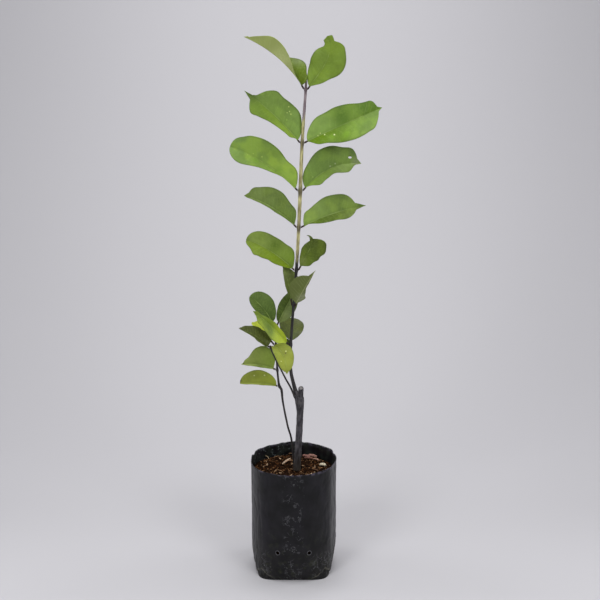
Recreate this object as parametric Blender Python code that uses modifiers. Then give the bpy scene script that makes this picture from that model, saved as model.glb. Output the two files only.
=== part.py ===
# A young guava tree in its black nursery bag, at its real size.
# Named sizes are in millimetres and degrees, and MM turns them into metres.
# The origin is the centre of the bag's flat underside. +Z is up and the front faces -Y.

import math
from types import SimpleNamespace

import bmesh
import bpy
import numpy as np
from mathutils import Vector

MM = 0.001
SHARP_EDGE = 40.0
CLEAR = 0.3  # left between neighbours that touch on the real plant

# Nursery bag
BAG_HALF = 50.5
BAG_HEIGHT = 136.0
FLOOR_HALF = 43.0
DRAWN_IN_HEIGHT = 35.0  # below this the film is drawn in over its folded corners
FOOT_FULLNESS = 0.75
FILM = 1.2
FLOOR_SQUARENESS = 5.5
RIM_SQUARENESS = 2.2
SQUARENESS_FADE = 9.0
BAG_SIDES = 48
BAG_LEVELS = (0.0, 1.5, 5.0, 10.0, 17.0, 26.0, 37.0, 52.0, 70.0, 90.0, 112.0, 126.0, 136.0)
RIM_TILT_RIGHT, RIM_TILT_BACK = 0.9, 1.0
RIM_RIPPLE, RIM_RIPPLES = 0.5, 5
CREASES = ((5, 0.45, 0.4), (11, 0.3, 2.1))  # folds round the bag, depth, phase
HOLE_RADIUS = 2.5
HOLE_HEIGHT = 37.5
DRILL_SIDES = 16
DRILL_LENGTH = 7.2
HOLE_ANGLES = (0, 69, 111, 180, 249, 291)

# Potting soil
SOIL_TOP = 123.0
SOIL_SIDES = 40
SOIL_LEVELS = (2.0, 10.0, 22.0, 40.0, 75.0, 105.0)
SOIL_RINGS = (0.96, 0.75, 0.5, 0.28)
SOIL_EDGE_DROP = 2.5
SOIL_FLAT = 0.3  # share of the surface, from the middle, that is level
SOIL_LUMPS = ((3, 0.8, 0.7), (7, 0.6, 1.9))  # lumps round the edge, height, phase

# Stems: (x, y, z, radius) where each bends or changes thickness
TRUNK = (
    (4.2, -5.0, 123.3, 4.6),
    (4.2, -5.0, 126.0, 4.15),
    (5.4, -4.6, 145.0, 3.85),
    (7.0, -4.2, 175.0, 3.65),
    (7.8, -4.0, 196.0, 3.75),
    (7.3, -4.0, 207.0, 5.0),
    (7.4, -4.0, 213.5, 4.4),
)
PRUNED_STUB = (
    (7.0, -4.2, 206.0, 3.2),
    (8.6, -4.5, 216.0, 2.8),
    (8.8, -4.9, 221.5, 2.8),
    (8.9, -7.0, 225.6, 2.8),
)
LEADER_SHOULDER = ((6.0, -4.0, 206.0, 3.2), (4.2, -3.6, 213.5, 2.8), (2.4, -3.0, 221.0, 2.6))
TWIG_SPUR = ((5.5, -5.0, 208.0, 2.2), (1.0, -9.0, 217.0, 1.3))
LEADER = (
    (2.4, -3.0, 221.0, 2.5),
    (0.0, -2.0, 230.0, 2.1),
    (-3.2, -1.0, 247.0, 1.85),
    (-2.9, 0.0, 276.0, 1.6),
    (0.3, 0.0, 322.0, 1.5),
    (3.6, 0.0, 364.0, 1.65),
    (6.3, 0.0, 413.5, 1.85),
    (8.0, 0.0, 455.0, 2.05),
    (10.1, 0.0, 508.6, 1.75),
    (14.0, 0.0, 567.0, 1.3),
    (14.3, 0.0, 579.0, 0.6),
)
BASAL_SHOOT = (
    (1.0, 3.5, 123.3, 1.5),
    (1.0, 3.5, 125.0, 1.4),
    (-2.4, 4.0, 158.0, 1.15),
    (-6.4, 4.5, 173.0, 1.1),
    (-10.0, 5.0, 191.0, 1.1),
    (-12.6, 5.5, 206.0, 1.15),
    (-14.0, 6.0, 219.5, 1.45),
    (-16.6, 6.5, 223.5, 1.3),
    (-18.7, 7.0, 243.5, 1.1),
    (-20.1, 7.0, 273.2, 1.05),
    (-20.6, 7.0, 297.0, 1.0),
)
SIDE_TWIG = (
    (1.0, -9.0, 217.0, 1.2),
    (-3.7, -10.5, 228.6, 1.05),
    (-7.7, -11.5, 236.1, 1.0),
    (-14.8, -14.0, 251.5, 0.95),
    (-22.2, -17.0, 268.3, 0.95),
    (-26.6, -18.5, 279.8, 1.0),
)
STEM_STEP = 5.0
LEAST_STEP = 0.6  # between the stations of a stem
NODE_SWELLING = 0.45
NODE_REACH, NODE_SPREAD = 3.5, 2.1
TRUNK_SMOOTHNESS, ARM_SMOOTHNESS, STEM_SMOOTHNESS = 4, 3, 2  # of their round sections

# Leaves
BLADE_STATIONS = 16
BLADE_SHARES = (-1.0, -0.5, 0.0, 0.5, 1.0)  # points across a blade, from the lower edge to the raised one
BLADE_THICKNESS_SHARE = 0.0105
LEAST_THICKNESS = 0.6
RIB_DEPTH = 0.7
STALK_RADIUS = 0.85
STALK_FLATNESS = 0.25  # half-height of the stalk's sides, as a share of its radius
BASE_WIDTH, BASE_TAPER = 1.0, 0.6  # least half-width at the stalk, and the share of it lost by the tip
RUFFLE_OFFSET = 0.23  # waves by which the raised margin runs ahead of the other

# Where leaves stand: the stem and the height on it
TOP_PAIR = ("leader", 567.0)
SECOND_PAIR = ("leader", 508.6)
THIRD_PAIR = ("leader", 455.0)
FOURTH_PAIR = ("leader", 413.5)
FIFTH_PAIR = ("leader", 364.0)
SIXTH_PAIR = ("leader", 322.0)
SEVENTH_PAIR = ("leader", 276.0)
SHOOT_TOP = ("basal_shoot", 296.5)
SHOOT_PAIR = ("basal_shoot", 273.2)
SHOOT_LOW = ("basal_shoot", 243.5)
SHOOT_LOWEST = ("basal_shoot", 223.5)
TWIG_END = ("side_twig", 279.0)


def leaf(name, seat, heading, rise, fall, length, above, below, **more):
    """One leaf: where it stands, the way its midrib runs and how its blade is turned.

    heading is seen from above: 0 right, 90 back, 180 left, 270 front. The midrib starts at the angle
    rise above level and loses fall by the tip, late if bend is over 1. above and below are the widest
    of the raised half and of the other. spike is the share of the length that is the spike_width or
    narrower, and taper the share that narrows to the tip. A pair of values for widest, full or
    spike_width is for the two halves. face is how far the blade is turned up towards the front, and it
    gains twist by the share twist_by of the way to the tip. fold lifts both halves off the blade's
    plane. dents are (half, place, reach, depth) where the margin draws in, or swells if depth is
    below 0.
    """
    values = dict(
        bend=1.0, stalk=5.0, widest=0.5, full=0.7, face=60.0, twist=0.0, twist_by=1.0,
        fold=16.0, spike=0.05, spike_width=2.0, taper=0.0, wave=0.8, waves=2.0, dents=(),
    )
    values.update(more)
    for pair in ("widest", "full", "spike_width"):
        if not isinstance(values[pair], tuple):
            values[pair] = (values[pair], values[pair])
    values["taper"] = values["taper"] or values["spike"]
    stem, at = seat
    return SimpleNamespace(
        name=name, stem=stem, at=at, heading=heading, rise=rise, fall=fall, length=length,
        above=above, below=below, **values,
    )


LEAVES = (
    leaf("left_leaf_1", TOP_PAIR, 184, 61, 38, 82.5, 20, 16.5, bend=0.8, face=75, twist=-100, twist_by=0.4,
         fold=38, full=(0.6, 0.9), widest=(0.37, 0.64), spike=0.04, spike_width=(1.8, 2.4),
         dents=((0, 0.09, 0.06, 0.2), (0, 0.25, 0.12, -0.05), (0, 0.93, 0.08, 0.6),
                (1, 0.5, 0.15, 0.08), (1, 0.86, 0.1, 0.1))),
    leaf("right_leaf_1", TOP_PAIR, -14, 53, -72, 61, 17.2, 25, stalk=4, bend=3, face=75, fold=8,
         full=(0.45, 0.6), widest=(0.57, 0.66), spike=0.1, spike_width=(5.8, 6.5), taper=0.03,
         dents=((0, 0.83, 0.05, 0.3), (1, 0.33, 0.12, 0.15), (1, 0.84, 0.06, -0.2))),
    leaf("left_leaf_2", SECOND_PAIR, 186, 50, 14, 79.5, 21, 18, stalk=4, full=(0.44, 0.5),
         widest=(0.54, 0.8), spike=0.12, spike_width=(1.6, 5),
         dents=((0, 0.85, 0.055, 0.6), (0, 0.66, 0.09, -0.17), (0, 0.22, 0.18, -0.28),
                (1, 0.14, 0.16, -1.3), (1, 0.06, 0.08, -1.8), (1, 0.78, 0.08, -0.22))),
    leaf("right_leaf_2", SECOND_PAIR, -8, 26, 2, 90, 19.8, 27, stalk=4, full=(0.42, 0.5),
         widest=(0.53, 0.66), spike_width=3,
         dents=((0, 0.16, 0.18, -0.3), (0, 0.46, 0.12, -0.06), (0, 0.76, 0.1, 0.08),
                (0, 0.93, 0.06, -0.35), (1, 0.1, 0.08, -0.3), (1, 0.86, 0.06, -0.15))),
    leaf("left_leaf_3", THIRD_PAIR, 178, 45.5, 26, 86.5, 23, 15, stalk=4, full=(0.42, 0.5),
         widest=(0.62, 0.82), spike=0,
         dents=((0, 0.31, 0.06, 0.03), (0, 0.1, 0.12, -0.45), (0, 0.9, 0.06, 0.08),
                (1, 0.12, 0.14, 0.75), (1, 0.75, 0.15, -0.08))),
    leaf("right_leaf_3", THIRD_PAIR, 6, 48, 56, 70.5, 24, 12.5, stalk=4.5, bend=1.2, full=(0.5, 0.6),
         widest=(0.56, 0.65), spike=0.06, spike_width=(4.8, 1.6),
         dents=((0, 0.92, 0.1, -0.35), (0, 0.24, 0.1, 0.05), (0, 0.74, 0.08, 0.05), (1, 0.18, 0.12, -1),
                (1, 0.53, 0.12, 0.3), (1, 0.78, 0.07, -0.1), (1, 0.91, 0.06, 0.5))),
    leaf("left_leaf_4", FOURTH_PAIR, 186, 46.5, 30, 66, 20.5, 3, stalk=4, full=0.58, widest=(0.56, 0.5),
         spike=0.05, spike_width=(4, 1.5), dents=((0, 0.94, 0.08, -0.45), (0, 0.1, 0.1, -0.35))),
    leaf("right_leaf_4", FOURTH_PAIR, -6, 28, 17, 73, 20.5, 13, stalk=4, full=(0.48, 0.6),
         widest=(0.56, 0.75), spike=0.14, spike_width=(5, 3),
         dents=((0, 0.06, 0.08, -0.35), (0, 0.78, 0.12, -0.16), (1, 0.2, 0.14, -0.6),
                (1, 0.55, 0.1, 0.12))),
    leaf("left_leaf_5", FIFTH_PAIR, 174, 42, 26, 62, 17.5, 14, bend=1.4, stalk=3, full=(0.42, 0.5),
         widest=0.6, spike=0,
         dents=((0, 0.16, 0.16, -0.5), (0, 0.6, 0.12, 0.06), (1, 0.45, 0.1, 0.14),
                (1, 0.76, 0.06, -0.15), (1, 0.9, 0.06, 0.12))),
    leaf("right_leaf_5", FIFTH_PAIR, -16, 62, -140, 42.5, 8.5, 22, bend=6, stalk=5.5, face=75, fold=8,
         full=(0.6, 0.35), widest=(0.55, 0.8), spike=0.18, spike_width=(2.6, 2),
         dents=((1, 0.1, 0.14, -0.9), (1, 0.55, 0.08, 0.14), (1, 0.78, 0.04, -0.15))),
    leaf("high_left_leaf", SIXTH_PAIR, 144, 80, 18, 39, 13, 4, bend=1.5, stalk=8, face=40, fold=4,
         full=0.6, spike_width=(1.5, 1)),
    leaf("high_right_leaf", SIXTH_PAIR, 310, 57, 8, 55, 7.5, 17, face=-25, fold=26, full=(0.9, 0.7),
         widest=(0.24, 0.5), spike=0.18, spike_width=(1.2, 3.2),
         dents=((0, 0.08, 0.08, -0.7), (0, 0.42, 0.14, 0.35), (1, 0.5, 0.12, 0.05))),
    leaf("inner_left_leaf", SEVENTH_PAIR, 205, 51, 12, 58.5, 6, 16, face=62, widest=(0.42, 0.42), full=0.6,
         spike=0.08, spike_width=3, dents=((1, 0.84, 0.08, -0.3),)),
    leaf("inner_right_leaf", SEVENTH_PAIR, 88, 38, 0, 33.5, 15.5, 14.5, face=10, full=0.45, widest=0.58),
    leaf("shoot_top_left_leaf", SHOOT_TOP, 170, 63, 28, 40, 15.3, 9.5, stalk=4.5, full=(0.45, 0.5),
         widest=(0.58, 0.6), spike=0),
    leaf("shoot_top_right_leaf", SHOOT_TOP, 15, 64, 6, 42, 9, 12.5, stalk=4.5, full=(0.55, 0.5), spike=0),
    leaf("shoot_left_leaf", SHOOT_PAIR, 175, 50, 12, 31, 10.5, 5, stalk=6.5, widest=0.66),
    leaf("shoot_right_leaf", SHOOT_PAIR, 0, 12, 10, 15, 6, 6, stalk=2.5),
    leaf("low_left_leaf", SHOOT_LOW, 180, 22, 28, 38, 22.5, 3.2, stalk=3, full=(0.8, 0.5),
         widest=(0.4, 0.5), spike=0.05, spike_width=(1.2, 1),
         dents=((0, 0.8, 0.1, 0.3), (0, 0.08, 0.08, -0.6))),
    leaf("lowest_left_leaf", SHOOT_LOWEST, 180, 15, 23, 42.5, 15, 2.6, stalk=1.5, full=0.5, spike=0),
    leaf("twig_left_leaf", TWIG_END, 190, 48, 27, 40.5, 12, 7, stalk=1, face=52, twist=-22, twist_by=0.4,
         full=(0.55, 0.6), widest=(0.42, 0.45), dents=((0, 0.1, 0.14, -0.9), (1, 0.86, 0.1, 0.3))),
    leaf("twig_right_leaf", TWIG_END, 300, 20, 112, 47, 12, 11, face=10, full=(0.55, 0.5),
         widest=(0.5, 0.6)),
)


def clear_scene():
    for item in list(bpy.data.objects):
        bpy.data.objects.remove(item, do_unlink=True)


def new_collection(name):
    group = bpy.data.collections.new(name)
    bpy.context.scene.collection.children.link(group)
    return group


def finish(name, colour, roughness):
    material = bpy.data.materials.new(name)
    material.use_nodes = True
    shader = material.node_tree.nodes["Principled BSDF"]
    shader.inputs["Base Color"].default_value = (*colour, 1.0)
    shader.inputs["Roughness"].default_value = roughness
    return material


def mesh_object(name, mesh, group, material=None):
    item = bpy.data.objects.new(name, mesh)
    group.objects.link(item)
    if material:
        mesh.materials.append(material)
    return item


def as_cutter(item):
    item.hide_render = True
    item.display_type = "WIRE"


def boolean(item, other, operation):
    modifier = item.modifiers.new(operation.title(), "BOOLEAN")
    modifier.operation = operation
    modifier.object = other


def loft(rings, close_start=True, close_end=True):
    """A mesh through rings of points, each ring as long as the next, outwards if they run
    anticlockwise seen from the far end."""
    mesh = bpy.data.meshes.new("loft")
    shape = bmesh.new()
    loops = [[shape.verts.new(Vector(point) * MM) for point in ring] for ring in rings]
    count = len(loops[0])
    for low, high in zip(loops, loops[1:]):
        for i in range(count):
            j = (i + 1) % count
            shape.faces.new((low[i], low[j], high[j], high[i]))
    if close_start:
        shape.faces.new(reversed(loops[0]))
    if close_end:
        shape.faces.new(loops[-1])
    shape.to_mesh(mesh)
    shape.free()
    return mesh


def shade_smooth(mesh):
    mesh.shade_smooth()
    mesh.set_sharp_from_angle(angle=math.radians(SHARP_EDGE))


def bag_half(height):
    """Half-width of the bag at a height: narrow on the floor, full above its drawn-in foot."""
    share = min(height / DRAWN_IN_HEIGHT, 1.0)
    return FLOOR_HALF + (BAG_HALF - FLOOR_HALF) * math.sin(0.5 * math.pi * share) ** FOOT_FULLNESS


def bag_squareness(height):
    return RIM_SQUARENESS + (FLOOR_SQUARENESS - RIM_SQUARENESS) * math.exp(-height / SQUARENESS_FADE)


def bag_radius(angle, height):
    """Distance from the bag's axis to its film, at an angle in radians round it and a height."""
    power = bag_squareness(height)
    spread = (abs(math.cos(angle)) ** power + abs(math.sin(angle)) ** power) ** (1 / power)
    upper = min(height / DRAWN_IN_HEIGHT, 1.0)
    crease = sum(depth * math.sin(folds * angle + phase) for folds, depth, phase in CREASES)
    return bag_half(height) / spread + upper * crease


def rim_height(angle):
    tilt = RIM_TILT_RIGHT * math.cos(angle) + RIM_TILT_BACK * math.sin(angle)
    return BAG_HEIGHT + tilt + RIM_RIPPLE * math.sin(RIM_RIPPLES * angle)


def around(sides):
    return [2 * math.pi * i / sides for i in range(sides)]


def bag_ring(height, sides, inset=0.0, stretch=False):
    ring = []
    for angle in around(sides):
        radius = bag_radius(angle, height) - inset
        z = height * rim_height(angle) / BAG_HEIGHT if stretch else height
        ring.append((radius * math.cos(angle), radius * math.sin(angle), z))
    return ring


def make_bag(group, cutters):
    rings = [bag_ring(height, BAG_SIDES, stretch=True) for height in BAG_LEVELS]
    mesh = loft(rings, close_end=False)
    bag = mesh_object("bag", mesh, group, finish("black_film", (0.016, 0.016, 0.019), 0.4))
    wall = bag.modifiers.new("Film", "SOLIDIFY")
    wall.thickness = FILM * MM
    wall.offset = -1
    wall.use_even_offset = True
    for number, degrees in enumerate(HOLE_ANGLES):
        angle = math.radians(degrees)
        distance = bag_radius(angle, HOLE_HEIGHT)
        drill = bpy.data.meshes.new("drill")
        shape = bmesh.new()
        bmesh.ops.create_cone(
            shape, cap_ends=True, segments=DRILL_SIDES, radius1=HOLE_RADIUS * MM,
            radius2=HOLE_RADIUS * MM, depth=DRILL_LENGTH * MM,
        )
        shape.to_mesh(drill)
        shape.free()
        cutter = mesh_object(f"drain_hole_{number + 1}", drill, cutters)
        outward = Vector((math.cos(angle), math.sin(angle), 0))
        cutter.location = (outward * distance + Vector((0, 0, HOLE_HEIGHT))) * MM
        cutter.rotation_mode = "QUATERNION"
        cutter.rotation_quaternion = outward.to_track_quat("Z", "Y")
        as_cutter(cutter)
        boolean(bag, cutter, "DIFFERENCE")
    shade_smooth(mesh)
    return bag


def soil_surface(share, angle):
    """Height of the soil at a share of the way out from the middle: level there, sunk at the edge."""
    outer = max(share - SOIL_FLAT, 0.0) / (1 - SOIL_FLAT)
    lumps = sum(height * math.sin(count * angle + phase) for count, height, phase in SOIL_LUMPS)
    return SOIL_TOP - SOIL_EDGE_DROP * outer**2 + lumps * math.sin(math.pi * outer)


def make_soil(group):
    inset = FILM + 2 * CLEAR
    rings = [bag_ring(height, SOIL_SIDES, inset) for height in SOIL_LEVELS]
    top = bag_ring(SOIL_TOP, SOIL_SIDES, inset)
    for share in (1.0, *SOIL_RINGS):
        heights = [soil_surface(share, angle) for angle in around(SOIL_SIDES)]
        rings.append([(x * share, y * share, z) for (x, y, _), z in zip(top, heights)])
    mesh = loft(rings)
    soil = mesh_object("soil", mesh, group, finish("potting_soil", (0.06, 0.034, 0.021), 0.95))
    shade_smooth(mesh)
    return soil


def smooth_path(knots, step=STEM_STEP):
    """Points along a smooth curve through the knots, each value of a knot eased like its place."""
    knots = np.array(knots, float)
    ends = np.vstack([2 * knots[0] - knots[1], knots, 2 * knots[-1] - knots[-2]])
    path = [knots[0]]
    for before, start, end, after in zip(ends, ends[1:], ends[2:], ends[3:]):
        count = max(int(round(np.linalg.norm((end - start)[:3]) / step)), 1)
        for t in np.linspace(0, 1, count + 1)[1:]:
            slope_in, slope_out = (end - before) / 2, (after - start) / 2
            a, b = 2 * t**3 - 3 * t**2 + 1, t**3 - 2 * t**2 + t
            c, d = 3 * t**2 - 2 * t**3, t**3 - t**2
            path.append(a * start + b * slope_in + c * end + d * slope_out)
    return np.array(path)


def along(path, height):
    """Point and radius of a stem at a height."""
    return np.array([np.interp(height, path[:, 2], path[:, i]) for i in range(4)])


def with_nodes(path, heights):
    """The path with a knuckle at each height where leaves stand."""
    extra = [along(path, z + dz) for z in heights for dz in (-NODE_REACH, 0.0, NODE_REACH)]
    extra = [point for point in extra if path[0, 2] < point[2] < path[-1, 2]]
    path = np.vstack([path, extra]) if extra else path
    path = path[np.argsort(path[:, 2])]
    keep = np.concatenate([[True], np.diff(path[:, 2]) > LEAST_STEP])
    keep[-1] = True
    path = path[keep].copy()
    for z in heights:
        path[:, 3] += NODE_SWELLING * np.exp(-(((path[:, 2] - z) / NODE_SPREAD) ** 2))
    return path


def limb_curve(name, path, group, resolution, material=None):
    curve = bpy.data.curves.new(name, "CURVE")
    curve.dimensions = "3D"
    curve.bevel_depth = MM
    curve.bevel_resolution = resolution
    curve.use_fill_caps = True
    spline = curve.splines.new("POLY")
    spline.points.add(len(path) - 1)
    for point, (x, y, z, radius) in zip(spline.points, path):
        point.co = (x * MM, y * MM, z * MM, 1.0)
        point.radius = radius
    spline.use_smooth = True
    item = bpy.data.objects.new(name, curve)
    group.objects.link(item)
    if material:
        curve.materials.append(material)
    return item


def to_mesh(item, group):
    """A curve object made a closed mesh object of the same name."""
    name = item.name
    graph = bpy.context.evaluated_depsgraph_get()
    mesh = bpy.data.meshes.new_from_object(item.evaluated_get(graph))
    shape = bmesh.new()
    shape.from_mesh(mesh)
    bmesh.ops.remove_doubles(shape, verts=shape.verts, dist=0.001 * MM)
    bmesh.ops.recalc_face_normals(shape, faces=shape.faces)
    shape.to_mesh(mesh)
    shape.free()
    bpy.data.objects.remove(item)
    solid = bpy.data.objects.new(name, mesh)
    group.objects.link(solid)
    return solid


def make_trunk(group, cutters, bark):
    trunk = to_mesh(limb_curve("trunk", smooth_path(TRUNK), group, TRUNK_SMOOTHNESS, bark), group)
    arms = {"pruned_stub": PRUNED_STUB, "leader_shoulder": LEADER_SHOULDER, "twig_spur": TWIG_SPUR}
    for name, knots in arms.items():
        arm = to_mesh(limb_curve(name, smooth_path(knots), cutters, ARM_SMOOTHNESS), cutters)
        as_cutter(arm)
        boolean(trunk, arm, "UNION")
    shade_smooth(trunk.data)
    return trunk


def off_its_seat(path):
    """The path with its first point moved along it, to clear the face that it grows from."""
    path = path.copy()
    step = path[1, :3] - path[0, :3]
    path[0, :3] += step * CLEAR / np.linalg.norm(step)
    return path


def stem_paths():
    heights = {}
    for one in LEAVES:
        heights.setdefault(one.stem, set()).add(one.at)
    knots = {"leader": LEADER, "basal_shoot": BASAL_SHOOT, "side_twig": SIDE_TWIG}
    paths = {name: with_nodes(smooth_path(knots[name]), sorted(heights[name])) for name in knots}
    for name in ("leader", "side_twig"):
        paths[name] = off_its_seat(paths[name])
    return paths


def make_stems(paths, group):
    colours = {
        "leader": (0.25, 0.2, 0.13),
        "basal_shoot": (0.06, 0.055, 0.05),
        "side_twig": (0.05, 0.045, 0.045),
    }
    for name, path in paths.items():
        bark = finish(f"{name}_bark", colours[name], 0.6)
        limb_curve(name, path, group, STEM_SMOOTHNESS, bark)


def half_width(one, t, half):
    """Width of half a blade, t of the way from stalk to tip: half is 0 for the raised one, or 1."""
    body = min(t / (1 - one.spike), 1.0)
    power = math.log(0.5) / math.log(one.widest[half])
    share = max(math.sin(math.pi * body**power), 0.0) ** one.full[half]
    for side, place, reach, depth in one.dents:
        if side == half:
            share *= 1 - depth * math.exp(-(((t - place) / reach) ** 2))
    point = one.spike_width[half] * min((1 - t) / one.taper, 1.0) * min(2 * t, 1.0) if one.spike else 0.0
    return max((one.above, one.below)[half] * share, point, BASE_WIDTH * (1 - BASE_TAPER * t))


def direction(one, t):
    """The midrib's direction at t, and the level line across it."""
    heading = math.radians(one.heading)
    pitch = math.radians(one.rise - one.fall * t**one.bend)
    ahead = (math.cos(heading) * math.cos(pitch), math.sin(heading) * math.cos(pitch), math.sin(pitch))
    return np.array(ahead), np.array([-math.sin(heading), math.cos(heading), 0.0])


def midrib(one, foot, stem_radius):
    """Stations down the stalk and blade: place, direction, the blade's own axes, and t (below 0 on
    the stalk, 0 to 1 on the blade)."""
    blade = [0.5 - 0.5 * math.cos(math.pi * k / BLADE_STATIONS) for k in range(BLADE_STATIONS + 1)]
    side = 1.0 if math.cos(math.radians(one.heading)) > 0 else -1.0
    start = math.radians(one.heading)
    place = np.array(foot) + np.array([math.cos(start), math.sin(start), 0.0]) * (stem_radius + CLEAR)
    stations, last = [], -1.0
    for t in [-1.0, -0.5] + blade:
        reach = one.stalk if t <= 0 else one.length
        place = place + (t - last) * reach * direction(one, max((t + last) / 2, 0.0))[0]
        ahead, level = direction(one, max(t, 0.0))
        over = np.cross(ahead, level)
        roll = math.radians(one.face + one.twist * min(max(t, 0.0) / one.twist_by, 1.0))
        across = side * math.cos(roll) * level + math.sin(roll) * over
        normal = math.cos(roll) * over - side * math.sin(roll) * level
        stations.append((place, ahead, across, normal, t))
        last = t
    return stations


def blade_point(one, station, share):
    """Point of the blade's middle surface, share from -1 (lower edge) to 1 (raised edge)."""
    place, _, across, normal, t = station
    reach = abs(share) * half_width(one, t, 0 if share > 0 else 1)
    lift = math.radians(one.fold)
    turns = one.waves * t + (RUFFLE_OFFSET if share > 0 else 0.0)
    ruffle = one.wave * math.sin(2 * math.pi * turns) * math.sin(math.pi * t)
    rise = reach * math.sin(lift) + ruffle * share**2
    return place + math.copysign(reach * math.cos(lift), share) * across + rise * normal


def stalk_ring(station, upright):
    """Ten points round the stalk, in the plane of the upright stem if upright."""
    place, ahead, across, normal, _ = station
    if upright:
        out = np.array([ahead[0], ahead[1], 0.0])
        out /= np.linalg.norm(out)
        across = across - out * np.dot(across, out)
        normal = normal - out * np.dot(normal, out)
    upper, lower = [], []
    for k in range(len(BLADE_SHARES)):
        angle = math.pi * (1 - k / (len(BLADE_SHARES) - 1))
        aside = STALK_RADIUS * math.cos(angle) * across
        rise = STALK_RADIUS * max(math.sin(angle), STALK_FLATNESS) * normal
        upper.append(place + aside + rise)
        lower.append(place + aside - rise)
    return upper + lower[::-1]


def blade_ring(one, station):
    _, _, _, normal, t = station
    half = max(BLADE_THICKNESS_SHARE * one.length, LEAST_THICKNESS) / 2
    upper, lower = [], []
    for share in BLADE_SHARES:
        point = blade_point(one, station, share)
        rib = RIB_DEPTH * (1 - t) if share == 0 else 0.0
        upper.append(point + normal * half)
        lower.append(point - normal * (half + rib))
    return upper + lower[::-1]


def make_leaf(one, paths, group, material):
    stem = along(paths[one.stem], one.at)
    stations = midrib(one, stem[:3], stem[3])
    rings = [stalk_ring(station, station is stations[0]) for station in stations if station[4] <= 0]
    rings += [blade_ring(one, station) for station in stations if station[4] > 0]
    mesh = loft(rings)
    shape = bmesh.new()
    shape.from_mesh(mesh)
    bmesh.ops.recalc_face_normals(shape, faces=shape.faces)
    shape.to_mesh(mesh)
    shape.free()
    shade_smooth(mesh)
    return mesh_object(one.name, mesh, group, material)


clear_scene()
plant = new_collection("guava_sapling")
cutters = new_collection("cutters")
make_bag(plant, cutters)
make_soil(plant)
make_trunk(plant, cutters, finish("trunk_bark", (0.05, 0.048, 0.055), 0.7))
paths = stem_paths()
make_stems(paths, plant)
leaf_green = finish("leaf_green", (0.17, 0.29, 0.065), 0.45)
for one in LEAVES:
    make_leaf(one, paths, plant, leaf_green)
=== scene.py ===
# A young guava tree in its black nursery bag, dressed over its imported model.
# The makers' functions work in millimetres, and MM turns them into the scene's metres.

from math import acos, copysign, cos, exp, log, pi, radians, sin
from types import SimpleNamespace

import bmesh
import bpy
import numpy as np
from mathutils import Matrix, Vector, noise


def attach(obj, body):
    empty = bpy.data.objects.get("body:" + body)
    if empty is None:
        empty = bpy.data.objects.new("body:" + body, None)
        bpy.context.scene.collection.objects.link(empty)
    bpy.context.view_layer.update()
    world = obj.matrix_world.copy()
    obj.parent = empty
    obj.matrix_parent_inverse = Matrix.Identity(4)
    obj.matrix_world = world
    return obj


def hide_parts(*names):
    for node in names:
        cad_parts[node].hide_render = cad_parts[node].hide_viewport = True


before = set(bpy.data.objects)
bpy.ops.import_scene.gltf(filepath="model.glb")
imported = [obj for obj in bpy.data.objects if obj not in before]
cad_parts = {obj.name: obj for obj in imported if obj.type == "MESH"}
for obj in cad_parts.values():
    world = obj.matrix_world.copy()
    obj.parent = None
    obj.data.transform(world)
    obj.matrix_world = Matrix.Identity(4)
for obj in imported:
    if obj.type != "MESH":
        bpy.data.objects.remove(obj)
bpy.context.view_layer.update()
MM = 0.001

# Nursery bag
# A square bag of thin black polythene, pressed out round by its soil, with its foot drawn in over
# folded corners, a rolled upper edge and fine creases from handling.

BAG_HALF, BAG_HEIGHT, FLOOR_HALF, DRAWN_IN_HEIGHT = 50.5, 136, 43, 35
FLOOR_SQUARENESS, RIM_SQUARENESS, SQUARENESS_FADE = 5.5, 2.2, 9
RIM_TILT_RIGHT, RIM_TILT_BACK, RIM_RIPPLE = 0.9, 1, 0.5
CREASES = ((5, 0.45, 0.4), (11, 0.3, 2.1))  # folds round the bag, depth, phase
FILM, FILM_INSET = 0.9, 0.15
BAG_SIDES = 240
LIP_HEIGHT, LIP_PROUD = 3, 0.25
TUCK_HEIGHT, TUCK_REACH, TUCK_DEPTH = 12.5, 0.36, 1.8  # the folded flap at each corner of the foot
NOTCHES = ((18, 1.8), (159, 2.4))  # angle and depth


def linear(red, green, blue):
    """A colour as the eye reads it, 0 to 255, made the shader's linear one."""
    tone = (red, green, blue)
    return *(((c / 255 + 0.055) / 1.055) ** 2.4 if c > 10 else c / 3295 for c in tone), 1.0


def arithmetic(operation, swapped=False):
    """A Wave's method for one operation, with the other number first if swapped."""
    def worked_out(wave, other=0):
        numbers = (other, wave) if swapped else (wave, other)
        return wave.board.node("ShaderNodeMath", dict(enumerate(numbers)), operation=operation)
    return worked_out


class Wave:
    """A number or vector that varies over a surface. Arithmetic on it adds the nodes that work it out."""

    def __init__(self, board, socket):
        self.board, self.socket = board, socket

    __add__ = __radd__ = arithmetic("ADD")
    __sub__, __rsub__ = arithmetic("SUBTRACT"), arithmetic("SUBTRACT", swapped=True)
    __mul__ = __rmul__ = arithmetic("MULTIPLY")
    __truediv__, __pow__ = arithmetic("DIVIDE"), arithmetic("POWER")
    __abs__, sine = arithmetic("ABSOLUTE"), arithmetic("SINE")

    def step(self, low, high):
        """0 below low and 1 above high, eased between them, or the other way round if low is higher."""
        limits = {"Value": self, "From Min": low, "From Max": high}
        return self.board.node("ShaderNodeMapRange", limits, interpolation_type="SMOOTHSTEP")

    def part(self, axis):
        return self.board.node("ShaderNodeSeparateXYZ", {0: self}, axis)


class Board:
    """A node tree, and the one way that nodes are added to it."""

    def __init__(self, tree):
        self.tree = tree

    def node(self, kind, sockets=(), output=0, **settings):
        made = self.tree.nodes.new(kind)
        for name, value in settings.items():
            setattr(made, name, value)
        for name, value in dict(sockets).items():
            if isinstance(value, Wave):
                self.tree.links.new(value.socket, made.inputs[name])
            else:
                made.inputs[name].default_value = value
        return Wave(self, made.outputs[output])


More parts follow.
